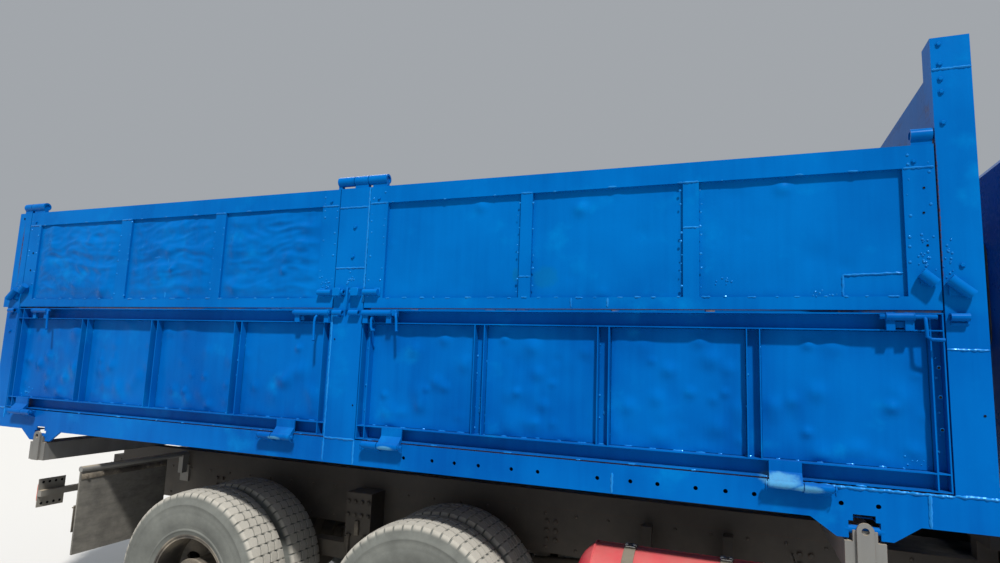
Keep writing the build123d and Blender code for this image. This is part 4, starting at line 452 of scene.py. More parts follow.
# %% Finish of each solid
FINISHES = (
    ("bed_", bed_paint), ("lower_board", bed_paint), ("upper_board", bed_paint), ("cab_shell", cab_paint),
    ("door_left_glass", window_glass), ("door_right_glass", window_glass), ("cab_glass", window_glass),
    ("door_", cab_paint), ("cab_seats", cloth), ("cab_dashboard", black_trim), ("cab_mirrors", black_trim),
    ("tip_beams", beam_paint), ("bumper", beam_paint), ("rear_bars", beam_paint), ("fuel_tank", beam_paint),
    ("gas_cylinder", tank_paint), ("tyres_", tyre_rubber), ("rims_", rim_steel), ("mudflaps", flap_rubber),
    ("tail_lamps", red_lens), ("headlamps", lamp_glass), ("engine", cast_iron),
    ("hoist_barrel", frame_paint), ("hoist_", bare_steel), ("", frame_paint),
)


def finish_of(name):
    """Material of the first row whose start fits the name."""
    return next(material for start, material in FINISHES if name.startswith(start))


for name, solid in nodes.items():
    solid.data.materials.clear()
    solid.data.materials.append(finish_of(name))
print("finished", len(nodes), "solids")

# %% [markdown]
# The studio. A plain pale floor, a pale sky all round and two soft lamps show the truck
# evenly. Lamps near a truck over seven metres long would light one end more than the other, so
# both are of the kind that stands infinitely far off and only has a direction.

# %% Floor, world and lamps
def backdrop_material():
    """Pale floor that keeps shadows."""
    graph = Graph("floor_pale")
    place = graph.place()
    tone = graph.mix(graph.noise(place, 0.6, 3.0) * 0.2, linear(196, 195, 192), linear(188, 187, 184))
    return graph.surface(Base_Color=tone, Roughness=0.9)


floor_mesh = bpy.data.meshes.new("floor")
FLOOR_HALF = 60.0
corner_signs = ((-1, -1), (1, -1), (1, 1), (-1, 1))
floor_mesh.from_pydata([(x * FLOOR_HALF, y * FLOOR_HALF, 0) for x, y in corner_signs], [], [(0, 1, 2, 3)])
floor = bpy.data.objects.new("floor", floor_mesh)
bpy.context.scene.collection.objects.link(floor)
floor.data.materials.append(backdrop_material())

world = bpy.data.worlds.new("studio")
world.use_nodes = True
world.node_tree.nodes["Background"].inputs["Color"].default_value = (0.86, 0.91, 0.97, 1.0)
world.node_tree.nodes["Background"].inputs["Strength"].default_value = 0.42
bpy.context.scene.world = world

# Lamp: direction the light comes from, strength, how wide it looks in degrees, tint
LAMPS = (
    ("key", (0.35, -0.62, 1.0), 4.6, 4.0, (1.0, 0.97, 0.93)),
    ("side", (-0.8, 0.7, 0.8), 0.8, 30.0, (0.9, 0.95, 1.0)),
)
for lamp_name, source, strength, width, tint in LAMPS:
    lamp_data = bpy.data.lights.new(lamp_name, "SUN")
    lamp_data.energy = strength
    lamp_data.angle = math.radians(width)
    lamp_data.color = tint
    lamp = bpy.data.objects.new(lamp_name, lamp_data)
    lamp.rotation_euler = Vector(source).to_track_quat("Z", "Y").to_euler()
    bpy.context.scene.collection.objects.link(lamp)
bpy.context.scene.view_settings.view_transform = "Standard"
print("lamps", len(LAMPS))

# %% [markdown]
# Mesh helpers. Nearly every piece on a truck is one of three things: a section drawn out along
# a line, a section turned round an axis, or a bent plate. A small collector of points and faces
# with a method for each makes hundreds of pieces cheap, and a table row can name its method.

# %% Sides, directions and a collector of faces
SIDES = {"right": -1, "left": 1}


def full_turn(count):
    """Angles of points evenly round a circle."""
    return [math.tau * step / count for step in range(count)]


def across(direction):
    """Two vectors square to a direction and to each other."""
    ahead = Vector(direction).normalized()
    helper = Vector((0, 0, 1)) if abs(ahead.z) < 0.9 else Vector((1, 0, 0))
    first = ahead.cross(helper).normalized()
    return first, ahead.cross(first)


BROKEN_EDGE = 0.0015
AHEAD, BACK, OUT, IN, UP, DOWN = (1, 0, 0), (-1, 0, 0), (0, 1, 0), (0, -1, 0), (0, 0, 1), (0, 0, -1)


def mirrored(value, sign):
    """The same value with sign times the Y of every point in it."""
    if isinstance(value, list):
        return [mirrored(part, sign) for part in value]
    if isinstance(value, (tuple, Vector)) and len(value) == 3:
        return Vector((value[0], sign * value[1], value[2]))
    return value


def rounded(start, corner, end, steps):
    """Points of a soft bend from start to end round a corner."""
    path = []
    for step in range(steps + 1):
        share = step / steps
        path.append((1 - share) ** 2 * start + 2 * share * (1 - share) * corner + share ** 2 * end)
    return path


def waves(place):
    """Smooth noise between about -1 and 1."""
    return noise.noise(Vector(place))


class Shape:
    """Points and faces of one piece, with a shade from 0 to 1 at each point."""

    def __init__(self, seed=1):
        self.points = []
        self.faces = []
        self.shades = []
        self.random = random.Random(seed)

    def add(self, points, faces, shades=0.0):
        start = len(self.points)
        self.points += [tuple(point) for point in points]
        self.faces += [[start + number for number in face] for face in faces]
        self.shades += shades if isinstance(shades, list) else [shades] * len(points)

    def loft(self, rings, closed=False):
        """Skin over rings that have as many points each, capped or closed into a ring."""
        size = len(rings[0])
        faces = []
        last = len(rings) if closed else len(rings) - 1
        for number in range(last):
            this, other = number * size, (number + 1) % len(rings) * size
            for step in range(size):
                after = (step + 1) % size
                faces.append([this + step, this + after, other + after, other + step])
        if not closed:
            faces.append(list(range(size))[::-1])
            faces.append([(len(rings) - 1) * size + step for step in range(size)])
        self.add([point for ring in rings for point in ring], faces)

    def turned(self, start, direction, stations, sides):
        """Round piece along a direction: each station is a distance and a radius."""
        start = Vector(start)
        ahead = Vector(direction).normalized()
        first, second = across(ahead)
        rings = []
        for distance, radius in stations:
            centre = start + ahead * distance
            rays = [first * math.cos(turn) + second * math.sin(turn) for turn in full_turn(sides)]
            rings.append([centre + ray * radius for ray in rays])
        self.loft(rings)

    def rod(self, start, end, radius, sides):
        """Round bar with broken edges."""
        along = Vector(end) - Vector(start)
        length = along.length
        thin = radius - BROKEN_EDGE
        stations = [(0, thin), (BROKEN_EDGE, radius), (length - BROKEN_EDGE, radius), (length, thin)]
        self.turned(start, along, stations, sides)

    def bolt(self, centre, outward, size, height):
        """Hexagon head on a washer."""
        washer = [(0, size * 1.35), (0.0012, size * 1.4), (0.0026, size * 1.35)]
        self.turned(centre, outward, washer, 18)
        top = 0.0026 + height
        head = [(0.002, size * 1.1), (top - 0.0015, size * 1.1), (top, size * 0.92)]
        self.turned(centre, outward, head, 6)

    def dot(self, centre, outward, radius, height):
        """Low round weld spot."""
        stations = [(-0.001, radius), (height * 0.6, radius * 0.8), (height, radius * 0.35)]
        self.turned(centre, outward, stations, 8)

    def pipe(self, path, radii, sides):
        """Bar along a path; radii is one radius or one for each point."""
        path = [Vector(point) for point in path]
        radii = radii if isinstance(radii, list) else [radii] * len(path)
        rings = []
        side = None
        for number, point in enumerate(path):
            before = path[max(number - 1, 0)]
            after = path[min(number + 1, len(path) - 1)]
            ahead = (after - before).normalized()
            side = across(ahead)[0] if side is None else (side - ahead * side.dot(ahead)).normalized()
            other = ahead.cross(side)
            rays = [side * math.cos(turn) + other * math.sin(turn) for turn in full_turn(sides)]
            rings.append([point + ray * radii[number] for ray in rays])
        self.loft(rings)

    def bead(self, start, end, radius):
        """Hand-laid weld: a lumpy cord of overlapping drops."""
        start, end = Vector(start), Vector(end)
        count = max(3, int((end - start).length / (radius * 1.5)))
        path = []
        radii = []
        for step in range(count + 1):
            shift = Vector([self.random.uniform(-0.2, 0.2) * radius for _ in range(3)])
            path.append(start.lerp(end, step / count) + shift)
            radii.append(radius * self.random.uniform(0.7, 1.15) * (0.5 if step in (0, count) else 1.0))
        self.pipe(path, radii, 6)

    def block(self, low, high, bevel, turn=None):
        """Plate or bar with broken edges, turned by a matrix if one is given."""
        low, high = Vector(low), Vector(high)
        middle = (low + high) / 2
        half = [abs(part) / 2 for part in high - low]
        mesh = bmesh.new()
        bmesh.ops.create_cube(mesh, size=2.0, matrix=Matrix.Diagonal((*half, 1.0)))
        width = min(bevel, min(half) * 0.8)
        bmesh.ops.bevel(mesh, geom=mesh.edges[:], offset=width, segments=1, affect="EDGES")
        mesh.verts.index_update()
        turn = turn or Matrix.Identity(3)
        points = [middle + turn @ vert.co for vert in mesh.verts]
        self.add(points, [[vert.index for vert in face.verts] for face in mesh.faces])
        mesh.free()

    def grid(self, columns, rows, at):
        """Sheet of squares; at(u, v) gives a point for two shares from 0 to 1."""
        points = [
            at(column / columns, row / rows) for row in range(rows + 1) for column in range(columns + 1)
        ]
        faces = []
        for row in range(rows):
            for column in range(columns):
                start = row * (columns + 1) + column
                faces.append([start, start + 1, start + columns + 2, start + columns + 1])
        self.add(points, faces)

    def band(self, corners, normal, width, thick, rounding):
        """Flat band round a window or a lid: corners in order, standing thick above them."""
        normal = Vector(normal).normalized()
        corners = [Vector(corner) for corner in corners]
        area = sum((corners[number - 1].cross(corner) for number, corner in enumerate(corners)), Vector())
        corners = corners if area.dot(normal) > 0 else corners[::-1]
        path = []
        for number, corner in enumerate(corners):
            before = (corners[number - 1] - corner).normalized()
            after = (corners[(number + 1) % len(corners)] - corner).normalized()
            path += rounded(corner + before * rounding, corner, corner + after * rounding, 4)
        rings = []
        for number, point in enumerate(path):
            ahead = (path[(number + 1) % len(path)] - path[number - 1]).normalized()
            out = ahead.cross(normal)
            half, rim = width / 2, thick * 0.7
            edge = ((half, 0), (half, rim), (half * 0.6, thick))
            profile = [(-along, up) for along, up in edge] + list(edge[::-1])
            rings.append([point + out * along + normal * up for along, up in profile])
        self.loft(rings, closed=True)

    def rows(self, rows, signs=(-1, 1)):
        """Runs rows of a method and its values, once for each side of the truck."""
        for sign in signs:
            for method, *values in rows:
                getattr(self, method)(*[mirrored(value, sign) for value in values])

    def done(self, name, body, material, slot, smooth):
        """Turns what was gathered into an object that rides on a body."""
        mesh = bpy.data.meshes.new(name)
        mesh.from_pydata(self.points, [], self.faces)
        mesh.validate()
        shade = mesh.attributes.new("shade", "FLOAT", "POINT")
        shade.data.foreach_set("value", self.shades)
        mesh.polygons.foreach_set("use_smooth", [True] * len(mesh.polygons))
        mesh.set_sharp_from_angle(angle=math.radians(smooth))
        mesh.materials.append(material)
        piece = bpy.data.objects.new(name, mesh)
        bpy.context.scene.collection.objects.link(piece)
        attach(piece, body)
        return piece


def dress(name, body, finish, slot, smooth, rows, signs=(-1, 1), seed=1):
    """A piece made from rows alone."""
    shape = Shape(seed)
    shape.rows(rows, signs)
    return shape.done(name, body, finish, slot, smooth)


print("mesh helpers ready")

# %% [markdown]
# Tyres. A truck tyre has a bulging side wall with moulded rings, a shoulder cut into blocks
# and a tread of ribs with zigzag grooves. It could be a smooth ring with a bumpy material, but
# the edge of the tread is seen against the ground, so the grooves are real. The section is
# drawn once and carried round the wheel, and at each step the groove edges sway sideways and
# the cross cuts drop the tread for a moment.

# %% Section of a tyre and its tread
TYRE_RADIUS = 0.515
TREAD_HALF = 0.112
GROOVE_DEPTH = 0.01
CUT_DEPTH = 0.008
SWAY = 0.0055
PITCHES = 58
GROOVES = (-0.056, 0.0, 0.056)
# One pitch of the tread: share of the pitch, sway of the grooves, depth of the cross cut
PITCH_STEPS = ((0.0, -1.0, 0.0), (0.4, 0.6, 0.0), (0.8, 0.9, 0.0), (0.83, 0.8, 1.0), (0.97, -0.8, 1.0))
# Side wall from the bead outwards: distance from the middle plane, radius
WALL = (
    (0.098, 0.264), (0.112, 0.268), (0.12, 0.28), (0.124, 0.296), (0.1285, 0.3), (0.1285, 0.306),
    (0.126, 0.31), (0.133, 0.335), (0.1345, 0.338), (0.1385, 0.372), (0.1395, 0.392), (0.1385, 0.396),
    (0.1392, 0.402), (0.138, 0.42), (0.1365, 0.438), (0.1385, 0.441), (0.1385, 0.447), (0.135, 0.452),
    (0.13, 0.476),
)


def tread_rows():
    """Points across the tread: place, radius, how far it sways, how much a cross cut drops it, shade."""
    rows = [(0.1245, 0.494, 0, 1.0, 0.6), (TREAD_HALF + 0.004, 0.5065, 0, 1.0, 0.9)]
    for middle in reversed(GROOVES):
        crown = TYRE_RADIUS - (abs(middle) / TREAD_HALF) ** 2 * 0.006
        rows.append((middle + 0.03, crown, 0, 0.15, 1.0))
        # Groove bottoms get shade 0, which the tread rubber paints near-black as painted shade
        for beside, sunk in ((0.0055, 0), (0.0035, 1), (-0.0035, 1), (-0.0055, 0)):
            share = 1.0 - sunk
            rows.append((middle + beside, crown - GROOVE_DEPTH * sunk, 1, share / 2, share))
    rows += [(GROOVES[0] - 0.03, 0.5105, 0, 0.15, 1.0)]
    rows += [(-TREAD_HALF - 0.004, 0.5065, 0, 1.0, 0.9), (-0.1245, 0.494, 0, 1.0, 0.6)]
    return rows


def tyre_section():
    """The whole section: both side walls with the tread between them."""
    near = [(place, radius, 0, 0.0, 0.15) for place, radius in WALL]
    far = [(-place, radius, 0, 0.0, 0.15) for place, radius in reversed(WALL)]
    return near + tread_rows() + far


def carry_tyre(shape, middle, seed):
    """Carries the section round an axle at the point middle."""
    section = tyre_section()
    rings = []
    shades = []
    wear = random.Random(seed)
    for pitch in range(PITCHES):
        worn = wear.uniform(0.75, 1.1)
        for share, sway, cut in PITCH_STEPS:
            turn = math.tau * (pitch + share) / PITCHES
            for place, radius, follows, drops, shade in section:
                lower = radius - cut * drops * CUT_DEPTH * worn
                y = place + sway * follows * SWAY
                rings.append(middle + Vector((lower * math.cos(turn), y, lower * math.sin(turn))))
                # Cross cuts lower the shade as well: painted shade in the cuts
                shades.append(shade * (1.0 - 0.8 * cut * min(1.0, drops * 2)))
    size = len(section)
    count = PITCHES * len(PITCH_STEPS)
    faces = []
    for step in range(count):
        this, other = step * size, (step + 1) % count * size
        for row in range(size - 1):
            faces.append([this + row, other + row, other + row + 1, this + row + 1])
    shape.add(rings, faces, shades)


# Wheel set: distance of its axle from the bed's rear, places of its tyres across the truck
WHEELS = {"rear": (1795, (1.07, 0.76)), "middle": (3245, (1.07, 0.76)), "front": (6085, (1.013,))}


def tread_rubber():
    """Rubber of the tyres: painted shade in the grooves and cuts, dusty pale on the tread, grey rings on
    the wall.
    """
    graph = Graph("tread_rubber")
    place = graph.place()
    shade = graph.node("ShaderNodeAttribute", {"attribute_name": "shade"}, output="Fac")
    cloud = graph.noise(place, 5.0, 6.0, 0.65)
    fine = graph.noise(place, 240.0, 4.0, 0.6)
    scuff = graph.noise(graph.stretch(place, (18, 60, 18)), 1.0, 5.0, 0.7)
    dusty_wall = (cloud * 1.3 - 0.2 + scuff * 0.3).clamp()
    dusty_tread = (fine * 0.8 + cloud * 0.6 - 0.2).clamp()
    wall = graph.mix(dusty_wall, linear(62, 64, 62), linear(115, 118, 113))
    tread = graph.mix(dusty_tread, linear(140, 137, 128), linear(180, 177, 168))
    # Near-black where the shade is low, in the grooves and cross cuts: painted shade
    groove = linear(46, 45, 44)
    tone = graph.mix(shade.ramp(0.2, 0.75), wall, tread)
    tone = graph.mix(shade.ramp(0.12, 0.02), tone, groove)
    crack = graph.cells(place, 130.0, "DISTANCE_TO_EDGE").ramp(0.05, 0.0) * 0.4
    normal = graph.bump(fine * 0.5 + scuff * 0.5 - crack, 0.35, 0.0012)
    return graph.surface(Base_Color=tone, Roughness=(0.78 + cloud * 0.2).clamp(), Normal=normal)


tread_finish = tread_rubber()
for end, (distance, places) in WHEELS.items():
    for side, sign in SIDES.items():
        tyres = Shape()
        for number, y in enumerate(places):
            carry_tyre(tyres, Vector((bx(distance), sign * y, TYRE_RADIUS)), distance + number)
        piece = tyres.done(f"tread_{end}_{side}", f"wheel_{end}_{side}", tread_finish, "tyre", 40)
        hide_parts(f"tyres_{end}_{side}")
print("tyre faces", len(tyres.faces))

# %% [markdown]
# Dented sheets. The boards are thin sheet welded into stiff frames, and years of stones and
# shovels have pushed the sheet about: round soft bulges low down on the lower boards, deep
# creases and crumples on the raised board at the rear, and only slight waves on the one at the
# front. A bump map would shade this but leave the shadow under each rail dead straight, so
# each sheet gets a fine grid whose points really move, laid in the recess of its frame.

# %% Sheets of the side boards
# Board: panels between its ribs along the bed, foot and head, how far out the sheet lies, manner
PANELS = {
    "lower_rear": (((176, 759), (821, 1374), (1436, 2029), (2091, 2648)), (204, 725), 1.2052, "bulged"),
    "lower_front": (((2946, 3534), (3596, 4142), (4204, 4769), (4831, 5420)), (204, 725), 1.2052, "bulged"),
    "upper_rear": (((236, 1020), (1114, 1814), (1892, 2588)), (861, 1374), 1.2252, "crumpled"),
    "upper_front": (((3006, 3757), (3817, 4520), (4588, 5360)), (861, 1374), 1.2252, "waved"),
}
SHEET_STEP = 0.011


def bulge_list(random_source, panel, count):
    """Round dents of one panel: place along and up, radius, depth outward."""
    (start, end), (foot, head) = panel
    bulges = []
    for _ in range(count):
        low_down = random_source.random() ** 1.5
        place = (random_source.uniform(start, end) / 1000, (foot + (head - foot) * low_down) / 1000)
        bulges.append((*place, random_source.uniform(0.02, 0.062), random_source.uniform(-0.005, 0.015)))
    return bulges


def rim_fade(value, start, end, width):
    """0 at the edges of a panel and 1 inside it."""
    inside = min(value - start, end - value) / width
    return max(0.0, min(1.0, inside)) ** 0.7


def crease(x, z, seed):
    """Sharp folds that run along the board and wander."""
    drift = waves((x * 1.6, z * 1.2, seed)) * 0.09 + waves((x * 6, z * 3, seed + 5)) * 0.022
    folds = 1.0 - abs(waves((x * 1.1, (z + drift) * 13.0, seed + 9))) * 2.0
    small = 1.0 - abs(waves((x * 9.0, (z + drift) * 24.0, seed + 2))) * 2.0
    lumps = waves((x * 17.0, z * 21.0, seed + 7))
    return folds * 0.0095 + small * 0.005 + lumps * 0.0036


def relief_of(manner, panel, bulges, seed):
    """How far a sheet stands out at a place, for its manner of wear."""
    (start, end), (foot, head) = [(low / 1000, high / 1000) for low, high in panel]
    wave = 0.0018 if manner == "waved" else 0.0026

    def relief(x, z):
        fade = rim_fade(x, start, end, 0.07) * rim_fade(z, foot, head, 0.07)
        depth = (waves((x * 2.6, z * 3.1, seed)) + waves((x * 9, z * 10, seed)) * 0.35) * wave
        for place, height, radius, push in bulges:
            gap = ((x - place) ** 2 + (z - height) ** 2) / radius ** 2
            if gap < 4:
                depth += push * math.exp(-gap * 1.6)
        if manner == "crumpled":
            droop = max(0.0, (z - head + 0.13) / 0.13) * (0.5 + waves((x * 3.1, 1.7, seed)) * 0.8)
            depth = depth + crease(x, z, seed) * (0.35 + 0.65 * fade) - droop * 0.009
            return 0.0105 + depth * (0.3 + 0.7 * fade)
        return 0.005 + depth * fade

    return relief


def body_of_board(board, side):
    """Name of the body that a table's board belongs to on one side."""
    return board if board == "bed" else f"{board.split('_')[0]}_board_{side}_{board.split('_')[1]}"


BULGES = {"bulged": 34, "crumpled": 12, "waved": 7}
for side, sign in SIDES.items():
    for board, (spans, heights, face, manner) in PANELS.items():
        sheet = Shape()
        for number, span in enumerate(spans):
            bulges = bulge_list(random.Random(f"{board}{side}{number}"), (span, heights), BULGES[manner])
            relief = relief_of(manner, (span, heights), bulges, number * 3.7 + sign + len(board))
            wide, tall = (span[1] - span[0]) / 1000, (heights[1] - heights[0]) / 1000
            step = SHEET_STEP * (0.8 if manner == "crumpled" else 1.0)

            def at(u, v):
                x, z = span[0] / 1000 + u * wide, heights[0] / 1000 + v * tall
                y = sign * (face + max(0.0006, relief(x, z)))
                return (x - ORIGIN_AHEAD / 1000, y, z + ORIGIN_BELOW / 1000)

            sheet.grid(int(wide / step), int(tall / step), at)
        if sign > 0:
            sheet.faces = [corners[::-1] for corners in sheet.faces]
        sheet.done(f"sheet_{board}_{side}", body_of_board(board, side), bed_paint, "bed_paint", 60)
print("faces of the last sheet", len(sheet.faces))

# %% [markdown]
# Welds. The frames are stitched to the sheets by hand: short lumpy beads, round tacks, and
# longer seams where a post was pieced together. Under the paint they stay as little hills that
# catch the light, and their blue is mixed lighter than the bed's as a painted glint. Each run is
# a row in a table, so that both sides of the truck get the same.

# %% Stitches, tacks and seams on the boards and posts
# Seams of each board: how far out its face lies, then runs along and up, from and to
SEAMS = {
    "bed": (
        (1.25, (
            (2704, 1359, 2890, 1359), (2704, 1024, 2890, 1024), (5476, 659, 5610, 659),
            (5476, 1772, 5610, 1772), (5476, 126, 5610, 126), (4960, 121, 5474, 122),
            (2704, 126, 2890, 126), (0, 126, 120, 126), (4220, 2, 4220, 90), (5395, 2, 5395, 123),
            (2704, 2, 2704, 123), (2890, 2, 2890, 123), (120, 60, 120, 123),
        )),
        (1.2495, ((2704, 126, 2704, 780), (2890, 840, 2890, 1466))),
    ),
    "upper_front": (
        (1.2305, ((5140, 950, 5352, 957), (5140, 862, 5140, 950))),
        (1.25, (
            (2898, 1374, 3006, 1374), (5362, 1374, 5468, 1374), (3757, 1376, 3817, 1376),
            (4520, 1376, 4588, 1376),
        )),
        (1.2495, ((4520, 1170, 4588, 1170), (3757, 962, 3817, 962))),
        (1.25, ((4020, 815, 4020, 858), (4190, 815, 4190, 858))),
    ),
    "upper_rear": (
        (1.25, (
            (128, 1374, 236, 1374), (2590, 1374, 2696, 1374), (1020, 1374, 1114, 1374),
            (1814, 1374, 1892, 1374),
        )),
        (1.235, ((1450, 862, 1450, 1120), (1300, 1120, 1450, 1124))),
    ),
    "lower_front": (
        (1.206, ((3565, 300, 3565, 380), (4173, 330, 4173, 350))),
    ),
}
# Tacks that climb a rib: places along, foot, head, how far out
TACKS = {
    "upper_front": (
        ((2912, 2990), 870, 1440, 1.25), ((5376, 5452), 960, 1440, 1.25),
        ((3748, 3824, 4512, 4596), 880, 1360, 1.2495),
    ),
    "upper_rear": (
        ((142, 222), 960, 1440, 1.25), ((2604, 2682), 960, 1440, 1.25),
        ((1026, 1108, 1820, 1886), 880, 1360, 1.2495),
    ),
    "lower_rear": (
        ((765, 815, 1380, 1430, 2035, 2085), 215, 715, 1.2065), ((150, 2672), 240, 700, 1.2065),
    ),
    "lower_front": (
        ((3540, 3590, 4148, 4198, 4775, 4825), 215, 715, 1.2065), ((2915, 5448), 240, 700, 1.2065),
    ),
}
# Rows of stitches along a board: height, start, end, how far out, spacing
STITCHES = {
    "upper_front": ((861, 3006, 5360, 1.2495, 92), (1376, 3006, 5360, 1.249, 240)),
    "upper_rear": ((861, 236, 2588, 1.2495, 118), (1376, 236, 2588, 1.249, 210)),
    "lower_front": ((203, 2950, 5420, 1.209, 98), (133, 2950, 5420, 1.25, 300)),
    "lower_rear": ((203, 180, 2645, 1.209, 104), (133, 180, 2645, 1.25, 280)),
}
# Scatters of weld drops: middle, half width, half height, how far out, how many
SPATTER = {
    "upper_front": (
        (5420, 1010, 30, 110, 1.25, 26), (5060, 870, 60, 14, 1.25, 12), (4700, 930, 40, 26, 1.231, 9),
    ),
    "bed": ((5500, 1010, 22, 90, 1.25, 18), (2800, 950, 40, 60, 1.25, 12), (60, 960, 30, 90, 1.25, 10)),
    "upper_rear": ((2640, 940, 40, 60, 1.25, 12),),
    "lower_front": ((5380, 240, 60, 30, 1.2095, 9),),
    "lower_rear": ((260, 240, 70, 30, 1.2095, 9),),
}
CORD, SILL_CORD = 0.005, 0.0062


def spot(along, up, out):
    """A point from millimetres along the bed and up, and metres out."""
    return (bx(along), out, bz(up))


for side, sign in SIDES.items():
    for board in ("bed", *PANELS):
        welds = Shape(seed=sign * 7 + len(board))
        draw = welds.random
        out = Vector((0, sign, 0))
        for face, runs in SEAMS.get(board, ()):
            for along, up, to_along, to_up in runs:
                cord = SILL_CORD if up < 130 else CORD
                welds.bead(spot(along, up, sign * face), spot(to_along, to_up, sign * face), cord)
        for places, foot, head, face in TACKS.get(board, ()):
            for place in places:
                height = foot + draw.uniform(0, 40)
                while height < head:
                    size = draw.choice((0.0035, 0.005, 0.0065))
                    tack = spot(place + draw.uniform(-5, 5), height, sign * face)
                    welds.dot(tack, out, size, size * 0.55)
                    height += draw.choice((38, 62, 85, 130))
        for along, up, half_wide, half_tall, face, count in SPATTER.get(board, ()):
            for _ in range(count):
                drop_x = along + draw.gauss(0, 0.45) * half_wide
                drop_z = up + draw.gauss(0, 0.45) * half_tall
                welds.dot(spot(drop_x, drop_z, sign * face), out, draw.uniform(0.0028, 0.0058), 0.0036)
        for height, start, end, face, spacing in STITCHES.get(board, ()):
            place = start + 20
            while place < end - 30:
                length = draw.uniform(8, 42)
                up = height + draw.uniform(-2, 2)
                thick = draw.uniform(0.003, 0.0048)
                welds.bead(spot(place, up, sign * face), spot(place + length, up, sign * face), thick)
                place += spacing * draw.uniform(0.7, 1.3)
        # The beads take the lighter weld paint: a painted glint on them
        welds.done(f"welds_{board}_{side}", body_of_board(board, side), weld_paint_and_glint, "bed_paint", 50)
print("weld faces on the last board", len(welds.faces))

# %% [markdown]
# Locks and hinges. Each lower board is held by sliding bolts: a round bar in a guide tube, with
# a bent handle that hangs down, and the tube's feet are welded on by hand. The hinges below are
# turned from bar and held by a pin with a washer and a split ring at each end. The solids show
# the tubes and the barrels, so what is left is the bars, handles, washers and weld beads.

# %% Bars, handles and welds of the locks
# Tube from and to along the bed, bar from and to
LOCK_TUBES = {
    "lower_rear": ((300, 440, 284, 462), (2468, 2690, 2452, 2695)),
    "lower_front": ((2904, 3076, 2900, 3112), (5278, 5371, 5256, 5446)),
}
# Paths of the handles: along, out, up
HANDLES = {
    "lower_rear": (
        ((2617, 1266, 768), (2617, 1284, 752), (2616, 1288, 730), (2618, 1287, 640), (2622, 1292, 628)),
        ((456, 1267, 780), (470, 1284, 772), (478, 1288, 750), (484, 1287, 668), (490, 1290, 656)),
    ),
    "lower_front": (
        (
            (5404, 1267, 780), (5405, 1278, 770), (5406, 1280, 740), (5407, 1280, 704), (5420, 1282, 694),
            (5462, 1284, 692),
        ),
        ((3104, 1267, 780), (3112, 1284, 770), (3118, 1287, 744), (3122, 1288, 694), (3126, 1290, 684)),
        ((2960, 1262, 762), (2960, 1272, 744), (2962, 1272, 706), (2970, 1272, 690), (2984, 1272, 692)),
    ),
}
LOCK_OUT = 1.267
LOCK_UP = 780
TUBE_MOUTH = [(-0.003, 0.016), (0.001, 0.0166), (0.002, 0.015)]
for side, sign in SIDES.items():
    for board, tubes in LOCK_TUBES.items():
        bars, joints = [], []
        for start, end, bar_start, bar_end in tubes:
            bar = [spot(place, LOCK_UP, LOCK_OUT) for place in (bar_start, bar_end)]
            bars.append(("rod", *bar, 0.0095, 16))
            for place, way in ((start, BACK), (end, AHEAD)):
                joints.append(("turned", spot(place, LOCK_UP, LOCK_OUT), way, TUBE_MOUTH, 20))
            for height in (LOCK_UP - 18, LOCK_UP + 15):
                for foot in (start + 3, end - 33):
                    run = [spot(place, height, 1.2515) for place in (foot, foot + 30)]
                    joints.append(("bead", *run, 0.004))
        for path in HANDLES[board]:
            radii = [0.0068] * (len(path) - 1) + [0.0075]
            bars.append(("pipe", [spot(along, up, out / 1000) for along, out, up in path], radii, 12))
        body = body_of_board(board, side)
        dress(f"lock_bars_{board}_{side}", body, bed_paint, "bed_paint", 45, bars, (sign,))
        dress(f"lock_welds_{board}_{side}", body, bed_paint, "bed_paint", 45, joints, (sign,), seed=5)

# Hinge pins at the foot of the boards: from and to along the bed
LOW_PINS = ((226, 434), (2306, 2519), (2964, 3176), (4846, 5074))
WASHER = [(-0.004, 0.016), (0.001, 0.0165), (0.0015, 0.01), (0.012, 0.0098), (0.014, 0.008)]
PIN_OUT, PIN_UP = 1.285, bz(113)
for side, sign in SIDES.items():
    pins = Shape()
    for place, away in [(place, away) for ends in LOW_PINS for place, away in zip(ends, (-1, 1))]:
        pins.turned((bx(place), sign * PIN_OUT, PIN_UP), (away, 0, 0), WASHER, 18)
        middle = Vector((bx(place + away * 8), sign * PIN_OUT, PIN_UP - 0.006))
        ring = [Vector((0, 0.014 * math.cos(turn), 0.02 * math.sin(turn))) for turn in full_turn(14)]
        pins.pipe([middle + ray for ray in ring], 0.0017, 6)
    pins.done(f"hinge_pins_{side}", "bed", bed_paint, "bed_paint", 40)
print("lock bars and hinge pins done")

# %% [markdown]
# Sockets, bolts and holes. On the centre post two folded boxes with a web between them take the
# bolts of both raised boards. Bolt heads and open holes are scattered over the posts and the
# stiles where fittings were moved over the years; each is one row of a table. Each open hole
# is a rim round a near-black disc, painted shade in the hole.

# %% Boxes, bolt heads and holes
# Low corner and high corner of each box: along, out, up
BOXES = {
    "bed": (
        (2716, 1249, 868, 2764, 1290, 912), (2830, 1249, 868, 2878, 1290, 912),
        (2793, 1249, 792, 2801, 1272, 918), (2722, 1249, 758, 2756, 1276, 768),
        (5490, 1249, 752, 5550, 1256, 762),
    ),
    "upper_rear": ((2600, 1249, 868, 2640, 1256, 912),),
    "upper_front": ((2952, 1249, 868, 2992, 1256, 912),),
    "lower_rear": ((2476, 1249, 742, 2520, 1255, 764),),
    "lower_front": ((5290, 1249, 742, 5360, 1255, 764), (3084, 1249, 764, 3110, 1281, 796)),
}
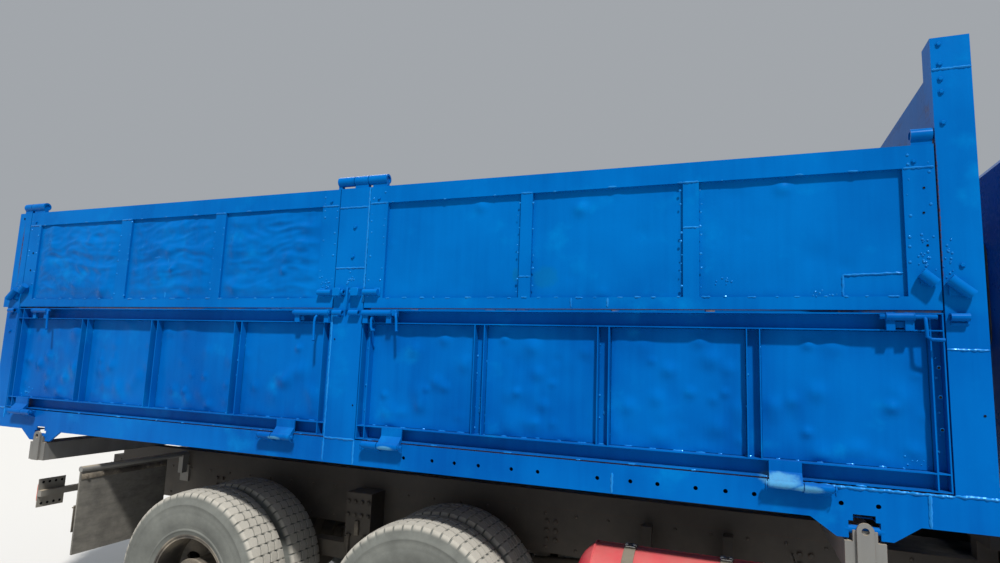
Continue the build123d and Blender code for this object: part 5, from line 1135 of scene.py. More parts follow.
# Bolt heads, then open holes: along, up, size
BOLTS = {
    "bed": (
        (2810, 1249, 9), (2807, 1086, 9), (5505, 1878, 8), (5505, 1794, 8), (5505, 1731, 8),
        (5505, 1677, 8), (5505, 1549, 8), (5540, 980, 8), (60, 760, 8), (60, 640, 8),
    ),
    "upper_front": ((5400, 1400, 7), (2950, 1400, 7)),
    "upper_rear": ((180, 1400, 7), (2645, 1400, 7)),
}
HOLES = {
    "bed": ((50, 1430, 7), (2868, 300, 4), (2728, 640, 4), (5580, 420, 4)),
    "upper_front": ((5430, 1290, 4), (5425, 1190, 4), (5432, 1060, 4)),
    "lower_front": ((5446, 590, 5), (5446, 480, 5), (5446, 360, 5)),
    "upper_rear": ((190, 1180, 6), (186, 1060, 6)),
}
FACE = 1.25
for side, sign in SIDES.items():
    for carrier in ("bed", *PANELS):
        fittings, holes = [], []
        for *low, along, out, up in BOXES[carrier]:
            a, b = spot(low[0], low[2], low[1] / 1000), spot(along, up, out / 1000)
            fittings.append(("block", a, b, 0.003))
            fittings += [("bead", (a[0], a[1], z), (b[0], a[1], z), 0.0035) for z in (a[2], b[2])]
        for along, up, size in BOLTS.get(carrier, ()):
            fittings.append(("bolt", spot(along, up, FACE), OUT, size / 1000, size / 1400))
        for along, up, size in HOLES.get(carrier, ()):
            centre, radius = spot(along, up, FACE - 0.0004), size / 1000
            rim = [(0.0, radius * 1.45), (0.0016, radius * 1.3), (0.0016, radius * 1.02), (0.0, radius)]
            fittings.append(("turned", centre, OUT, rim, 16))
            # A near-black disc inside each open hole: painted shade in the hole
            holes.append(("turned", centre, OUT, [(0.0, radius * 1.12), (0.0024, radius * 1.08)], 16))
        body = body_of_board(carrier, side)
        dress(f"fittings_{carrier}_{side}", body, bed_paint, "bed_paint", 40, fittings, (sign,), seed=21)
        if holes:
            dress(f"holes_{carrier}_{side}", body, painted_shade_and_seam_dark, "trim", 40, holes, (sign,))
# The row of small holes in the sill shows a near-black block behind it: painted shade in the holes
channel = ("block", spot(2940, 44, 1.222), spot(5440, 76, 1.226), 0.001)
dress("sill_hole_shade", "bed", painted_shade_and_seam_dark, "trim", 30, [channel])
print("carriers of boxes", len(BOXES))

# %% [markdown]
# Wheels. The tyres are done; the rims still lack what makes a truck wheel: a split ring that
# holds the tyre on, ten nuts on long studs, the flange of the axle shaft with its own ring of
# bolts, and a bent valve stem. All of them sit on circles, so one small function that gives
# points round an axle does the work for every wheel.

# %% Nuts, studs, rings and valves of the wheels
# Wheel set: face of the disc, circle of the nuts, end and radius of the hub, outer lip of the rim
HUBS = {
    "rear": (0.927, 0.145, 1.17, 0.125, 1.182), "middle": (0.927, 0.145, 1.17, 0.125, 1.182),
    "front": (1.101, 0.118, 1.14, 0.085, 1.125),
}
NUTS = 10
FLANGE_BOLTS = 8
# Lock rings: radius, how far outside the lip, thickness; their ends leave a gap in radians
LOCK_RINGS = ((0.272, 0.001, 0.0065), (0.262, -0.004, 0.0045))
HALF_GAP = 0.012
RING_TURNS = [HALF_GAP + (math.tau - 2 * HALF_GAP) * step / 72 for step in range(73)]


def round_axle(x, y, radius, turns):
    """Points round an axle that runs across the truck, at some angles."""
    return [(x + radius * math.cos(turn), y, TYRE_RADIUS + radius * math.sin(turn)) for turn in turns]


for end, (disc, circle, hub_end, hub, lip) in HUBS.items():
    x = bx(WHEELS[end][0])
    iron = []
    for nut in round_axle(x, disc, circle, [math.tau * (step + 0.25) / NUTS for step in range(NUTS)]):
        iron.append(("bolt", nut, OUT, 0.0135, 0.02))
        iron.append(("rod", nut, (nut[0], disc + 0.038, nut[2]), 0.0095, 10))
    for head in round_axle(x, hub_end, hub * 0.78, full_turn(FLANGE_BOLTS)):
        iron.append(("bolt", head, OUT, 0.0075, 0.007))
    cap = [(0, hub * 0.56), (0.006, hub * 0.56), (0.01, hub * 0.5), (0.02, hub * 0.42), (0.024, hub * 0.2)]
    flange = [(-0.004, hub + 0.01), (0.004, hub + 0.012), (0.009, hub + 0.008), (0.012, hub - 0.006)]
    iron.append(("turned", (x, hub_end - 0.001, TYRE_RADIUS), OUT, cap, 32))
    iron.append(("turned", (x, hub_end - 0.022, TYRE_RADIUS), OUT, flange, 40))
    rings = []
    for wide, beyond, thick in LOCK_RINGS:
        rings.append(("pipe", round_axle(x, lip + beyond, wide, RING_TURNS), thick, 8))
    foot, mid, bend, tip = [
        (x + 0.235 + ahead, disc + 0.055 + out, TYRE_RADIUS)
        for ahead, out in ((0, 0), (0.004, 0.03), (-0.006, 0.075), (-0.01, 0.094))
    ]
    stem = [("pipe", [foot, mid, bend], [0.004, 0.004, 0.005], 8), ("rod", bend, tip, 0.0052, 10)]
    for side, sign in SIDES.items():
        body = f"wheel_{end}_{side}"
        dress(f"wheel_iron_{end}_{side}", body, cast_iron, "cast_iron", 35, iron, (sign,))
        dress(f"lock_ring_{end}_{side}", body, rim_steel, "rim_paint", 50, rings, (sign,))
        dress(f"valve_{end}_{side}", body, bare_steel, "bare_steel", 40, stem, (sign,))
print("nuts on each wheel", NUTS)

# %% [markdown]
# Underneath. Between the twin wheels the photograph shows the dusty underside: the spring
# stack with its clamps, rows of rivets along the frame, brake chambers on the axles and thin
# air pipes. None of it is large, but without it the space behind the wheels looks empty. The
# left side is the mirror image of the right.

# %% Spring clamps, rivets, brake chambers and air pipes
TRUNNION_X = 2520
FRAME_WEB = 0.432
clamps = []
for step in (-60, 60):
    for out in (0.494, 0.596):
        x = bx(TRUNNION_X + step)
        clamps.append(("rod", (x, out, 0.56), (x, out, 0.742), 0.0115, 12))
        clamps.append(("bolt", (x, out, 0.575), DOWN, 0.016, 0.016))
        clamps.append(("bolt", (x, out, 0.733), UP, 0.016, 0.01))
clamps.append(("block", (bx(TRUNNION_X - 88), 0.478, 0.574), (bx(TRUNNION_X + 88), 0.612, 0.589), 0.003))
for step in (-72, -24, 24, 72):
    for height in (0.86, 0.94):
        clamps.append(("bolt", (bx(TRUNNION_X + step), 0.59, height), OUT, 0.012, 0.01))
clamps.append(("block", (bx(TRUNNION_X - 14), 0.59, 0.742), (bx(TRUNNION_X + 14), 0.606, 0.83), 0.003))
for clip, top in ((-430, 0.64), (-300, 0.662), (300, 0.662), (430, 0.64)):
    x = TRUNNION_X + clip
    clamps.append(("block", (bx(x - 14), 0.496, 0.588), (bx(x + 14), 0.594, top), 0.002))
dress("spring_clamps", "chassis", dusty_steel, "frame_paint", 40, clamps)

RIVET = [(0, 0.01), (0.003, 0.0085), (0.005, 0.004)]
rivets = [
    ("turned", (bx(230 + number * 182), FRAME_WEB, height), OUT, RIVET, 10)
    for number in range(38) for height in (0.792, 0.978)
]
rivets += [
    ("bolt", (bx(member + step), FRAME_WEB, height), OUT, 0.011, 0.01)
    for member in (158, 1240, 3725, 5050, 7105) for step in (-26, 26) for height in (0.835, 0.885, 0.935)
]
dress("frame_rivets", "chassis", frame_paint, "frame_paint", 40, rivets)

# Chamber: along, across, up
CHAMBERS = ((1500, 0.352, 0.664), (2950, 0.352, 0.664), (5900, 0.35, 0.53))
CHAMBER_SHELL = [
    (-0.085, 0.035), (-0.078, 0.062), (-0.02, 0.072), (-0.006, 0.072), (-0.004, 0.078), (0.006, 0.078),
    (0.008, 0.07), (0.055, 0.058), (0.066, 0.03),
]
brakes = []
for along, out, up in CHAMBERS:
    x = bx(along)
    brakes.append(("turned", (x, out, up), AHEAD, CHAMBER_SHELL, 24))
    brakes.append(("rod", (x + 0.06, out, up), (x + 0.15, out, up), 0.008, 10))
    low, high = (x + 0.133, out - 0.014, up - 0.09), (x + 0.157, out + 0.014, up + 0.02)
    brakes.append(("block", low, high, 0.004))
    for turn in full_turn(6):
        place = (x - 0.006, out + 0.079 * math.cos(turn), up + 0.079 * math.sin(turn))
        brakes.append(("bolt", place, BACK, 0.005, 0.006))
dress("brake_chambers", "chassis", dusty_steel, "frame_paint", 40, brakes)

air = []
for number, height in enumerate((0.802, 0.816, 0.83)):
    y = 0.417 - number * 0.004
    stops = ((420, 0), (1500 + number * 40, 0), (3350, 0.003), (5000, 0), (6900 + number * 40, 0))
    air.append(("pipe", [(bx(along), y, height - sag) for along, sag in stops], 0.0045, 8))
for along in range(600, 6900, 420):
    air.append(("block", (bx(along), 0.424, 0.796), (bx(along + 18), 0.402, 0.836), 0.002))
dress("air_pipes", "chassis", black_trim, "trim", 50, air)
print("rivets", len(rivets), "on each side")

# %% [markdown]
# The cab's outside. It is out of the photograph, so it gets what every flat-fronted cab of this
# age has: rubber round the panes, a lid with a barred grille below the windscreen, wipers, blank
# plates, indicators, marker lamps on the brow, gutters, grab rails and flared rubber over the
# front wheels. The bare solid would look like a toy; these are the lines that the eye looks for.

# %% Window rubbers, lid, grille and wipers
FACE_X = 3.69
CAB_SIDE = 1.2
SCREEN_LOW, SCREEN_HIGH = (3.6286, 2.01), (3.4343, 2.69)
SCREEN_OUT = Vector((0.9615, 0, 0.2747))


def wall_rect(x, left, right, low, high):
    """Corners of a rectangle that faces along the truck."""
    return [(x, left, low), (x, right, low), (x, right, high), (x, left, high)]


def side_rect(back, front, low, high, y=CAB_SIDE):
    """Corners of a rectangle on the cab's side."""
    return [(back, y, low), (front, y, low), (front, y, high), (back, y, high)]


screen = [(x, y, z) for (x, z), y in (
    (SCREEN_LOW, -1.09), (SCREEN_LOW, 1.09), (SCREEN_HIGH, 1.09), (SCREEN_HIGH, -1.09),
)]
rubbers = Shape()
rubbers.band(screen, SCREEN_OUT, 0.036, 0.009, 0.05)
rubbers.band(wall_rect(2.15, -0.52, 0.52, 2.01, 2.48), BACK, 0.034, 0.008, 0.05)
rubbers.rows([("band", side_rect(2.23, 2.45, 2.01, 2.56), OUT, 0.028, 0.007, 0.04)])
rubbers.done("window_rubbers", "cab", hose_rubber, "rubber", 50)

grille = Shape()
grille.band(wall_rect(FACE_X, -0.7, 0.7, 1.13, 1.6), AHEAD, 0.04, 0.014, 0.05)
BAR_LEAN = Matrix.Rotation(math.radians(24), 3, "Y")
for number in range(8):
    height = 1.17 + number * 0.054
    grille.block((FACE_X + 0.003, -0.69, height), (FACE_X + 0.007, 0.69, height + 0.04), 0.001, BAR_LEAN)
for place in (-0.35, 0.0, 0.35):
    grille.block((FACE_X, place - 0.01, 1.14), (FACE_X + 0.016, place + 0.01, 1.59), 0.003)
grille.done("grille", "cab", black_trim, "trim", 40)
# A near-black plate behind the grille bars: painted shade behind the grille
grille_shade_plate = ("block", (FACE_X - 0.001, -0.69, 1.14), (FACE_X + 0.0015, 0.69, 1.59), 0.0005)
dress("grille_back_shade", "cab", painted_shade_and_seam_dark, "trim", 40, [grille_shade_plate], (1,))

seams = Shape()
seams.band(wall_rect(FACE_X, -1.04, 1.04, 1.03, 1.79), AHEAD, 0.005, 0.0012, 0.04)
seams.rows([("band", side_rect(2.545, 2.552, 2.755, 2.8), OUT, 0.003, 0.001, 0.001)])
seams.done("lid_seams", "cab", painted_shade_and_seam_dark, "trim", 50)

pressed = Shape()
for height in (1.665, 1.735):
    pressed.band(wall_rect(FACE_X, -1.0, 1.0, height - 0.012, height + 0.012), AHEAD, 0.01, 0.005, 0.01)
gutter = [(2.2, 1.203, 2.8), (2.7, 1.203, 2.806), (3.25, 1.203, 2.802), (3.395, 1.2, 2.76)]
lines = [
    ("rod", (FACE_X - 0.004, 0.72, 1.79), (FACE_X - 0.004, 0.86, 1.79), 0.012, 16),
    ("pipe", gutter, [0.01, 0.011, 0.011, 0.006], 8),
]
for height in (1.3, 1.78):
    for back, front in ((2.165, 2.535), (3.445, 3.68)):
        lines.append(("pipe", [(back, 1.199, height), (front, 1.199, height)], 0.008, 8))
pressed.rows(lines)
pressed.pipe([(3.404, -1.12, 2.792), (3.404, 1.12, 2.792)], 0.009, 8)
pressed.done("pressed_lines", "cab", cab_paint, "cab_paint", 50)

wipers = Shape()
for foot_y in (-0.62, 0.16):
    base = Vector((3.652, foot_y, 1.962))
    tip = Vector((3.6, foot_y + 0.286, 2.2)) + SCREEN_OUT * 0.022
    wipers.turned(base - SCREEN_OUT * 0.01, SCREEN_OUT, [(0, 0.022), (0.02, 0.02), (0.026, 0.012)], 16)
    middle = base.lerp(tip, 0.5) + SCREEN_OUT * 0.014
    wipers.pipe([base + SCREEN_OUT * 0.016, middle, tip], [0.008, 0.006, 0.005], 8)
    half_blade = Vector((-0.055, 0.4, 0.192)) * 0.62
    blade_middle = tip - SCREEN_OUT * 0.01
    blade = [blade_middle - half_blade, blade_middle + SCREEN_OUT * 0.006, blade_middle + half_blade]
    wipers.pipe(blade, [0.004, 0.006, 0.004], 6)
wipers.done("wipers", "cab", black_trim, "trim", 45)

GRAB = ((1.198, 1.52), (1.24, 1.53), (1.246, 1.6), (1.246, 2.26), (1.24, 2.33), (1.198, 2.34))
rails = [("pipe", [(2.505, out, up) for out, up in GRAB], 0.011, 12)]
for height in (1.52, 2.34):
    rails.append(("turned", (2.505, 1.199, height), OUT, [(0, 0.024), (0.004, 0.024), (0.006, 0.018)], 18))
dress("grab_rails", "cab", black_trim, "trim", 50, rails)
print("cab front dressed")

# %% [markdown]
# Lamps and mirrors. Each lamp is a lens in a bezel: amber indicators at the corners, five
# markers on the brow, ribbed glasses in the bumper, and a three-part lamp at each rear corner.
# The mirrors get their glass, which is a bright plate let into the dark housing.

# %% Lamps, mirror glass and blank plates
BUMPER_X = 3.75
MARKER_UP = (0.25, 0, 1)
lenses = Shape()
bezels = Shape()
lenses.rows([
    ("block", (FACE_X - 0.001, 1.085, 1.3), (FACE_X + 0.02, 1.165, 1.47), 0.008),
    ("block", (3.0, 1.199, 1.36), (3.1, 1.214, 1.4), 0.006),
])
bezels.rows([("band", wall_rect(FACE_X, 1.085, 1.165, 1.3, 1.47), AHEAD, 0.016, 0.016, 0.012)])
for place in (-0.92, -0.16, 0.0, 0.16, 0.92):
    lens = [(0, 0.034), (0.018, 0.03), (0.03, 0.02), (0.035, 0.006)]
    lenses.turned((3.245, place, 2.898), MARKER_UP, lens, 18)
    bezels.turned((3.245, place, 2.896), MARKER_UP, [(0, 0.042), (0.006, 0.042), (0.009, 0.034)], 18)
lenses.done("indicators", "cab", amber_lens, "lamp", 45)
bezels.done("lamp_bezels", "cab", black_trim, "trim", 45)

LAMP_X, LAMP_Y, LAMP_Z = BUMPER_X - 0.001, 0.985, 0.685
RIB_REACH = 0.052
DOME = [(0, 0.059), (0.006, 0.056), (0.012, 0.045), (0.016, 0.022), (0.017, 0.004)]
lamp_rows = [("turned", (LAMP_X, LAMP_Y, LAMP_Z), AHEAD, DOME, 32)]
for number in range(-4, 5):
    shift = number * 0.0125
    reach = math.sqrt(RIB_REACH ** 2 - shift ** 2)
    x = LAMP_X + 0.0135 - abs(shift) * 0.1
    rib = [(x, LAMP_Y + shift, LAMP_Z - reach), (x, LAMP_Y + shift, LAMP_Z + reach)]
    lamp_rows.append(("pipe", rib, 0.0016, 6))
dress("headlamp_glasses", "chassis", lamp_glass, "lamp", 45, lamp_rows)
bezel_ring = [(-0.006, 0.069), (0.006, 0.068), (0.008, 0.062), (0.002, 0.059)]
dress("headlamp_bezels", "chassis", bare_steel, "bare_steel", 45, [
    ("band", wall_rect(BUMPER_X, 0.845, 1.125, 0.605, 0.765), AHEAD, 0.02, 0.007, 0.02),
    ("turned", (LAMP_X, LAMP_Y, LAMP_Z), AHEAD, bezel_ring, 32),
    *[("bolt", (BUMPER_X, y, z), AHEAD, 0.01, 0.008) for z in (0.575, 0.795) for y in (0.56, 0.4)],
])

plate_rim = wall_rect(BUMPER_X + 0.004, -0.252, 0.252, 0.628, 0.724)
dress("blank_plates", "chassis", plate_paint, "lamp", 40, [
    ("block", (BUMPER_X - 0.001, -0.26, 0.62), (BUMPER_X + 0.004, 0.26, 0.732), 0.002),
    ("band", plate_rim, AHEAD, 0.006, 0.0015, 0.012),
    ("block", (-3.444, 0.6, 0.79), (-3.438, 0.86, 0.9), 0.002),
], (1,))

# Rear lamp glasses: low and high across, finish, name
REAR_GLASSES = (
    (0.895, 0.945, red_lens, "stop"), (0.947, 0.995, red_lens, "tail"), (0.997, 1.046, amber_lens, "turn"),
)
for low, high, finish, use in REAR_GLASSES:
    glasses = [("block", (-3.468, low, 0.787), (-3.459, high, 0.884), 0.004)]
    for number in range(5):
        place = low + 0.007 + number * 0.0085
        glasses.append(("pipe", [(-3.4685, place, 0.792), (-3.4685, place, 0.879)], 0.0015, 6))
    dress(f"rear_glass_{use}", "chassis", finish, "tail_lamp", 40, glasses)

mirror = ("block", (3.5675, 1.318, 1.812), (3.5705, 1.462, 2.328), 0.001)
dress("mirror_glasses", "cab", mirror_glass, "glass", 40, [mirror])
dress("mirror_frames", "cab", black_trim, "trim", 45, [
    ("band", wall_rect(3.57, 1.312, 1.468, 1.805, 2.335), BACK, 0.02, 0.008, 0.03),
    ("block", (3.598, 1.305, 1.8), (3.612, 1.475, 2.34), 0.012),
])
print("lamps, mirrors and plates")

# %% [markdown]
# Doors and the cab's inside. Each door has a rubber round its pane, a pressed line, a lock
# barrel by its handle, and a trim card with an armrest inside. On the dashboard stands a
# hooded cluster of round dials without figures. Levers and pedals are small, but they show
# through the wide panes, so they are turned and lofted like the rest.

# %% Door rubbers, locks and trim cards
PANE = [(3.33, CAB_SIDE, 1.93), (3.15, CAB_SIDE, 2.66), (2.61, CAB_SIDE, 2.66), (2.61, CAB_SIDE, 1.93)]
PULL = [(2.7, 1.152, 1.74), (2.705, 1.118, 1.74), (2.8, 1.118, 1.74), (2.805, 1.152, 1.74)]
# Piece of a door: finish, slot, smoothing, rows
DOOR_PIECES = {
    "rubber": (hose_rubber, "rubber", 50, [("band", PANE, OUT, 0.03, 0.007, 0.05)]),
    "lock": (black_trim, "trim", 45, [
        ("band", side_rect(2.592, 2.752, 1.625, 1.685), OUT, 0.01, 0.005, 0.02),
        ("turned", (2.672, 1.199, 1.59), OUT, [(0, 0.013), (0.006, 0.013), (0.008, 0.01)], 18),
    ]),
    "line": (cab_paint, "cab_paint", 50, [
        ("pipe", [(2.56, 1.199, height), (3.425, 1.199, height)], 0.008, 8) for height in (1.3, 1.78)
    ]),
    "card": (black_trim, "trim", 45, [
        ("block", (2.64, 1.15, 1.52), (3.38, 1.161, 1.87), 0.006),
        ("block", (2.76, 1.108, 1.6), (3.13, 1.152, 1.65), 0.016),
        ("pipe", PULL, 0.009, 10),
        ("turned", (3.2, 1.152, 1.74), IN, [(0, 0.024), (0.012, 0.022), (0.016, 0.012)], 18),
        ("rod", (3.2, 1.134, 1.74), (3.14, 1.13, 1.715), 0.007, 10),
        ("turned", (3.14, 1.134, 1.715), IN, [(0, 0.011), (0.024, 0.011), (0.028, 0.007)], 14),
    ]),
}
for side, sign in SIDES.items():
    for part, (finish, slot, smooth, rows) in DOOR_PIECES.items():
        dress(f"door_{part}_{side}", f"door_{side}", finish, slot, smooth, rows, (sign,))

# Hood of the dials, three sections: back, front, left and right at the foot and at the top, its height
HOOD = (
    (3.065, 3.075, 0.36, 0.92, 0.36, 0.92, 1.965), (3.12, 3.13, 0.35, 0.93, 0.35, 0.93, 1.99),
    (3.3, 3.27, 0.38, 0.9, 0.4, 0.88, 1.94),
)
KNOB = [(0, 0.012), (0.012, 0.024), (0.034, 0.027), (0.05, 0.018), (0.054, 0.004)]
GAITER = [(0, 0.075), (0.02, 0.068), (0.04, 0.045), (0.07, 0.032), (0.11, 0.014)]
inside = [
    ("loft", [
        [(foot_x, a, 1.85), (foot_x, b, 1.85), (top_x, d, top), (top_x, c, top)]
        for foot_x, top_x, a, b, c, d, top in HOOD
    ]),
    ("rod", (2.86, 0.16, 1.38), (2.8, 0.2, 1.82), 0.009, 12),
    ("turned", (2.797, 0.202, 1.8), (-0.13, 0.09, 1), KNOB, 18),
    ("turned", (2.86, 0.16, 1.372), UP, GAITER, 20),
]
for place in (0.5, 0.64, 0.78):
    inside.append(("rod", (3.2, place, 1.34), (3.13, place, 1.1), 0.008, 8))
    inside.append(("block", (3.112, place - 0.03, 1.06), (3.13, place + 0.03, 1.125), 0.004))
stalk = [(3.02, 0.68, 1.795), (2.955, 0.8, 1.85), (2.93, 0.86, 1.86)]
inside.append(("pipe", stalk, [0.006, 0.006, 0.009], 8))
inside.append(("rod", (3.005, -1.04, 1.7), (3.005, -0.3, 1.7), 0.006, 8))
for number in range(7):
    y = -0.22 + number * 0.055
    inside.append(("block", (2.986, y, 1.655), (2.992, y + 0.035, 1.69), 0.003))
dress("cab_controls", "cab", black_trim, "trim", 45, inside, (1,))

DIAL_OUT = (-1, 0, 0.08)
dials = []
rims = []
for place, size in ((0.44, 0.034), (0.535, 0.046), (0.64, 0.046), (0.745, 0.046), (0.84, 0.034)):
    centre = (3.068, place, 1.908)
    rim = [(0, size + 0.005), (0.007, size + 0.004), (0.008, size + 0.001), (0.002, size)]
    needle = [(3.063, place, 1.908), (3.063, place + size * 0.55, 1.908 + size * 0.45)]
    dials.append(("turned", centre, DIAL_OUT, [(0, size), (0.003, size), (0.0035, size * 0.3)], 24))
    rims += [("turned", centre, DIAL_OUT, rim, 28), ("pipe", needle, [0.002, 0.0008], 6)]
dress("dial_faces", "cab", plate_paint, "trim", 45, dials, (1,))
dress("dial_bezels", "cab", bare_steel, "bare_steel", 45, rims, (1,))

# Section of the rubber over a front wheel: radius and distance out
ARCH = ((0.606, 1.185), (0.606, 1.222), (0.612, 1.23), (0.634, 1.222), (0.652, 1.201), (0.652, 1.197))
ARCH_TURNS = [math.radians(42 + 96 * step / 30) for step in range(31)]
arch = [[round_axle(2.385, out, radius, [turn])[0] for radius, out in ARCH] for turn in ARCH_TURNS]
dress("arch_rubbers", "cab", flap_rubber, "rubber", 50, [("loft", arch)])
print("doors and cab inside")

# %% [markdown]
# What hangs on the frame. The gas cylinder on the right has weld rings where its domes join the
# barrel, tensioned lugs on its bands and a valve group in a dished guard at its front end. The
# fuel tank on the left has two bands and a cap, the battery box has spring clips, the flaps hang
# on clamped bolts, and the lamp plates are drilled like the ones in the photograph.

# %% Cylinder, tank, battery box, flaps and lamp plates
GAS_Y, GAS_Z = -1.05, 0.825
GAS_RADIUS = 0.2005
cylinder = Shape(seed=12)
for place in (4116, 4834):
    ring = [
        (bx(place), GAS_Y + GAS_RADIUS * math.cos(turn), GAS_Z + GAS_RADIUS * math.sin(turn))
        for turn in [*full_turn(60), math.tau]
    ]
    cylinder.pipe(ring, [0.0042 + 0.0012 * (step % 3) for step in range(61)], 6)
cylinder.bead((bx(4118), GAS_Y + 0.06, GAS_Z + 0.191), (bx(4832), GAS_Y + 0.06, GAS_Z + 0.191), 0.004)
cylinder.done("cylinder_welds", "chassis", tank_paint, "red_paint", 50)

head = Vector((bx(4920), GAS_Y, GAS_Z))
VALVE = [(0, 0.052), (0.01, 0.052), (0.014, 0.044), (0.03, 0.04), (0.034, 0.022), (0.06, 0.02)]
valves = [("turned", head - Vector((0.004, 0, 0)), AHEAD, VALVE, 24)]
for rise, out in ((0.045, 0.0), (-0.03, 0.04), (-0.03, -0.04)):
    foot = head + Vector((0.042, out, rise * 0.6))
    reach = Vector((0.0, out, rise)).normalized()
    end = foot + reach * 0.055
    valves.append(("rod", foot, end, 0.01, 12))
    valves.append(("turned", end, reach, [(0, 0.02), (0.003, 0.024), (0.01, 0.024), (0.013, 0.018)], 10))
SUPPLY = (
    (4962, -1.05, 0.825), (4985, -1.04, 0.84), (4990, -0.92, 0.9), (4990, -0.6, 0.93), (4990, -0.435, 0.93),
)
valves.append(("pipe", [(bx(along), y, z) for along, y, z in SUPPLY], 0.005, 8))
for start in (4250, 4660):
    valves += [("bolt", (bx(start + step), -1.05, 1.03), UP, 0.009, 0.008) for step in (8, 42)]
    valves += [
        ("block", (bx(start + 2), -1.075, 1.029), (bx(start + 48), -1.025, 1.036), 0.002),
        ("block", (bx(start + 8), -1.262, 0.79), (bx(start + 42), -1.254, 0.86), 0.003),
        ("bolt", (bx(start + 25), -1.262, 0.825), IN, 0.009, 0.01),
    ]
dress("cylinder_valves", "chassis", bare_steel, "bare_steel", 45, valves, (1,))

# Corners of a tank band, set in by its rounding, and the angle at which each begins
BAND_CORNERS = ((0.6, 0.67, 180), (1.08, 0.67, 270), (1.08, 0.97, 0), (0.6, 0.97, 90))
tank = Shape()
for start in (4200, 4810):
    back, front = bx(start), bx(start + 45)
    rings = []
    for y, z, first in BAND_CORNERS:
        for step in range(7):
            turn = math.radians(first + 15 * step)
            near, far = [
                (y + wide * math.cos(turn), z + wide * math.sin(turn)) for wide in (0.0705, 0.0745)
            ]
            rings.append([(back, *near), (front, *near), (front, *far), (back, *far)])
    tank.loft(rings, closed=True)
    tank.bolt((bx(start + 22), 1.155, 0.8), OUT, 0.01, 0.014)
FILLER = [(0, 0.05), (0.022, 0.05), (0.023, 0.058), (0.04, 0.058), (0.046, 0.048)]
tank.turned((bx(4980), 1.02, 1.038), (0, 0.35, 1), FILLER, 28)
for turn in full_turn(14):
    ahead, out = math.cos(turn), math.sin(turn)
    knurl = (bx(4980) + 0.059 * ahead, 1.03 + 0.056 * out, 1.066 - 0.02 * out)
    tank.dot(knurl, (ahead, out, 0), 0.006, 0.005)
tank.done("tank_bands", "chassis", dusty_steel, "grey_paint", 45)

clips = []
for place in (5080, 5380):
    for drop in (0.0, 0.034):
        low, high = (bx(place), 1.1255, 0.915 - drop), (bx(place + 40), 1.138, 0.943 - drop)
        clips.append(("block", low, high, 0.004))
    for x in (bx(place + 8), bx(place + 32)):
        clips.append(("rod", (x, 1.14, 0.9), (x, 1.14, 0.945), 0.004, 8))
for number in range(6):
    height = 0.7 + number * 0.026
    clips.append(("block", (bx(5060), 1.1195, height), (bx(5400), 1.1225, height + 0.01), 0.001))
dress("battery_clips", "chassis", dusty_steel, "frame_paint", 45, clips, (1,))

flaps = [("block", (bx(back), 0.62, 1.018), (bx(back + 4), 1.235, 1.052), 0.0015) for back in (911, 895)]
flaps += [
    ("bolt", (bx(face), 0.66 + number * 0.108, 1.035), way, 0.008, 0.007)
    for number in range(6) for face, way in ((915, AHEAD), (895, BACK))
]
flaps += [
    ("block", (bx(880), 1.224, 0.7), (bx(884), 1.242, 0.86), 0.002),
    ("block", (bx(868), 1.206, 0.842), (bx(884), 1.242, 0.85), 0.002),
    ("bead", (bx(906), 0.64, 1.098), (bx(906), 0.47, 1.098), 0.003),
    ("bolt", (bx(268), 0.9, 0.835), AHEAD, 0.01, 0.01),
    ("bolt", (bx(268), 1.04, 0.835), AHEAD, 0.01, 0.01),
]
# Near-black discs in the drilled holes of the lamp plates: painted shade in the holes
PLATE_HOLE = [(0, 0.009), (0.0012, 0.0085)]
drilled = [
    ("turned", (bx(face), 0.905 + number * 0.042, height), way, PLATE_HOLE, 14)
    for height in (0.765, 0.905) for number in range(4) for face, way in ((268, AHEAD), (262, BACK))
]
dress("flap_clamps", "chassis", dusty_steel, "frame_paint", 45, flaps, seed=16)
dress("plate_hole_shade", "chassis", painted_shade_and_seam_dark, "trim", 45, drilled)
print("tanks, flaps and plates")

# %% [markdown]
# Seats. A truck seat is a foam cushion in a sewn cover on a steel box, with a tall back. The
# covers are cut a little small, so the foam crowns between the seams. A block with rounded
# edges would not read as cloth. Here each pad starts as a slightly smaller box, is remeshed
# and blown up as cloth for a moment, and then gets its sewn channels and a piping round it.

# %% Seat pads blown up as cloth
PAD_VOXEL = 0.008
PAD_CAP = 0.022
PAD_STEPS = 20
PAD_SHRINK = 0.01
PAD_EDGE = 0.03
PAD_PRESSURE = 4.0
PAD_STIFFNESS = 12
CHANNEL_DEPTH, CHANNEL_WIDTH = 0.009, 0.014
CORD_RADIUS = 0.005


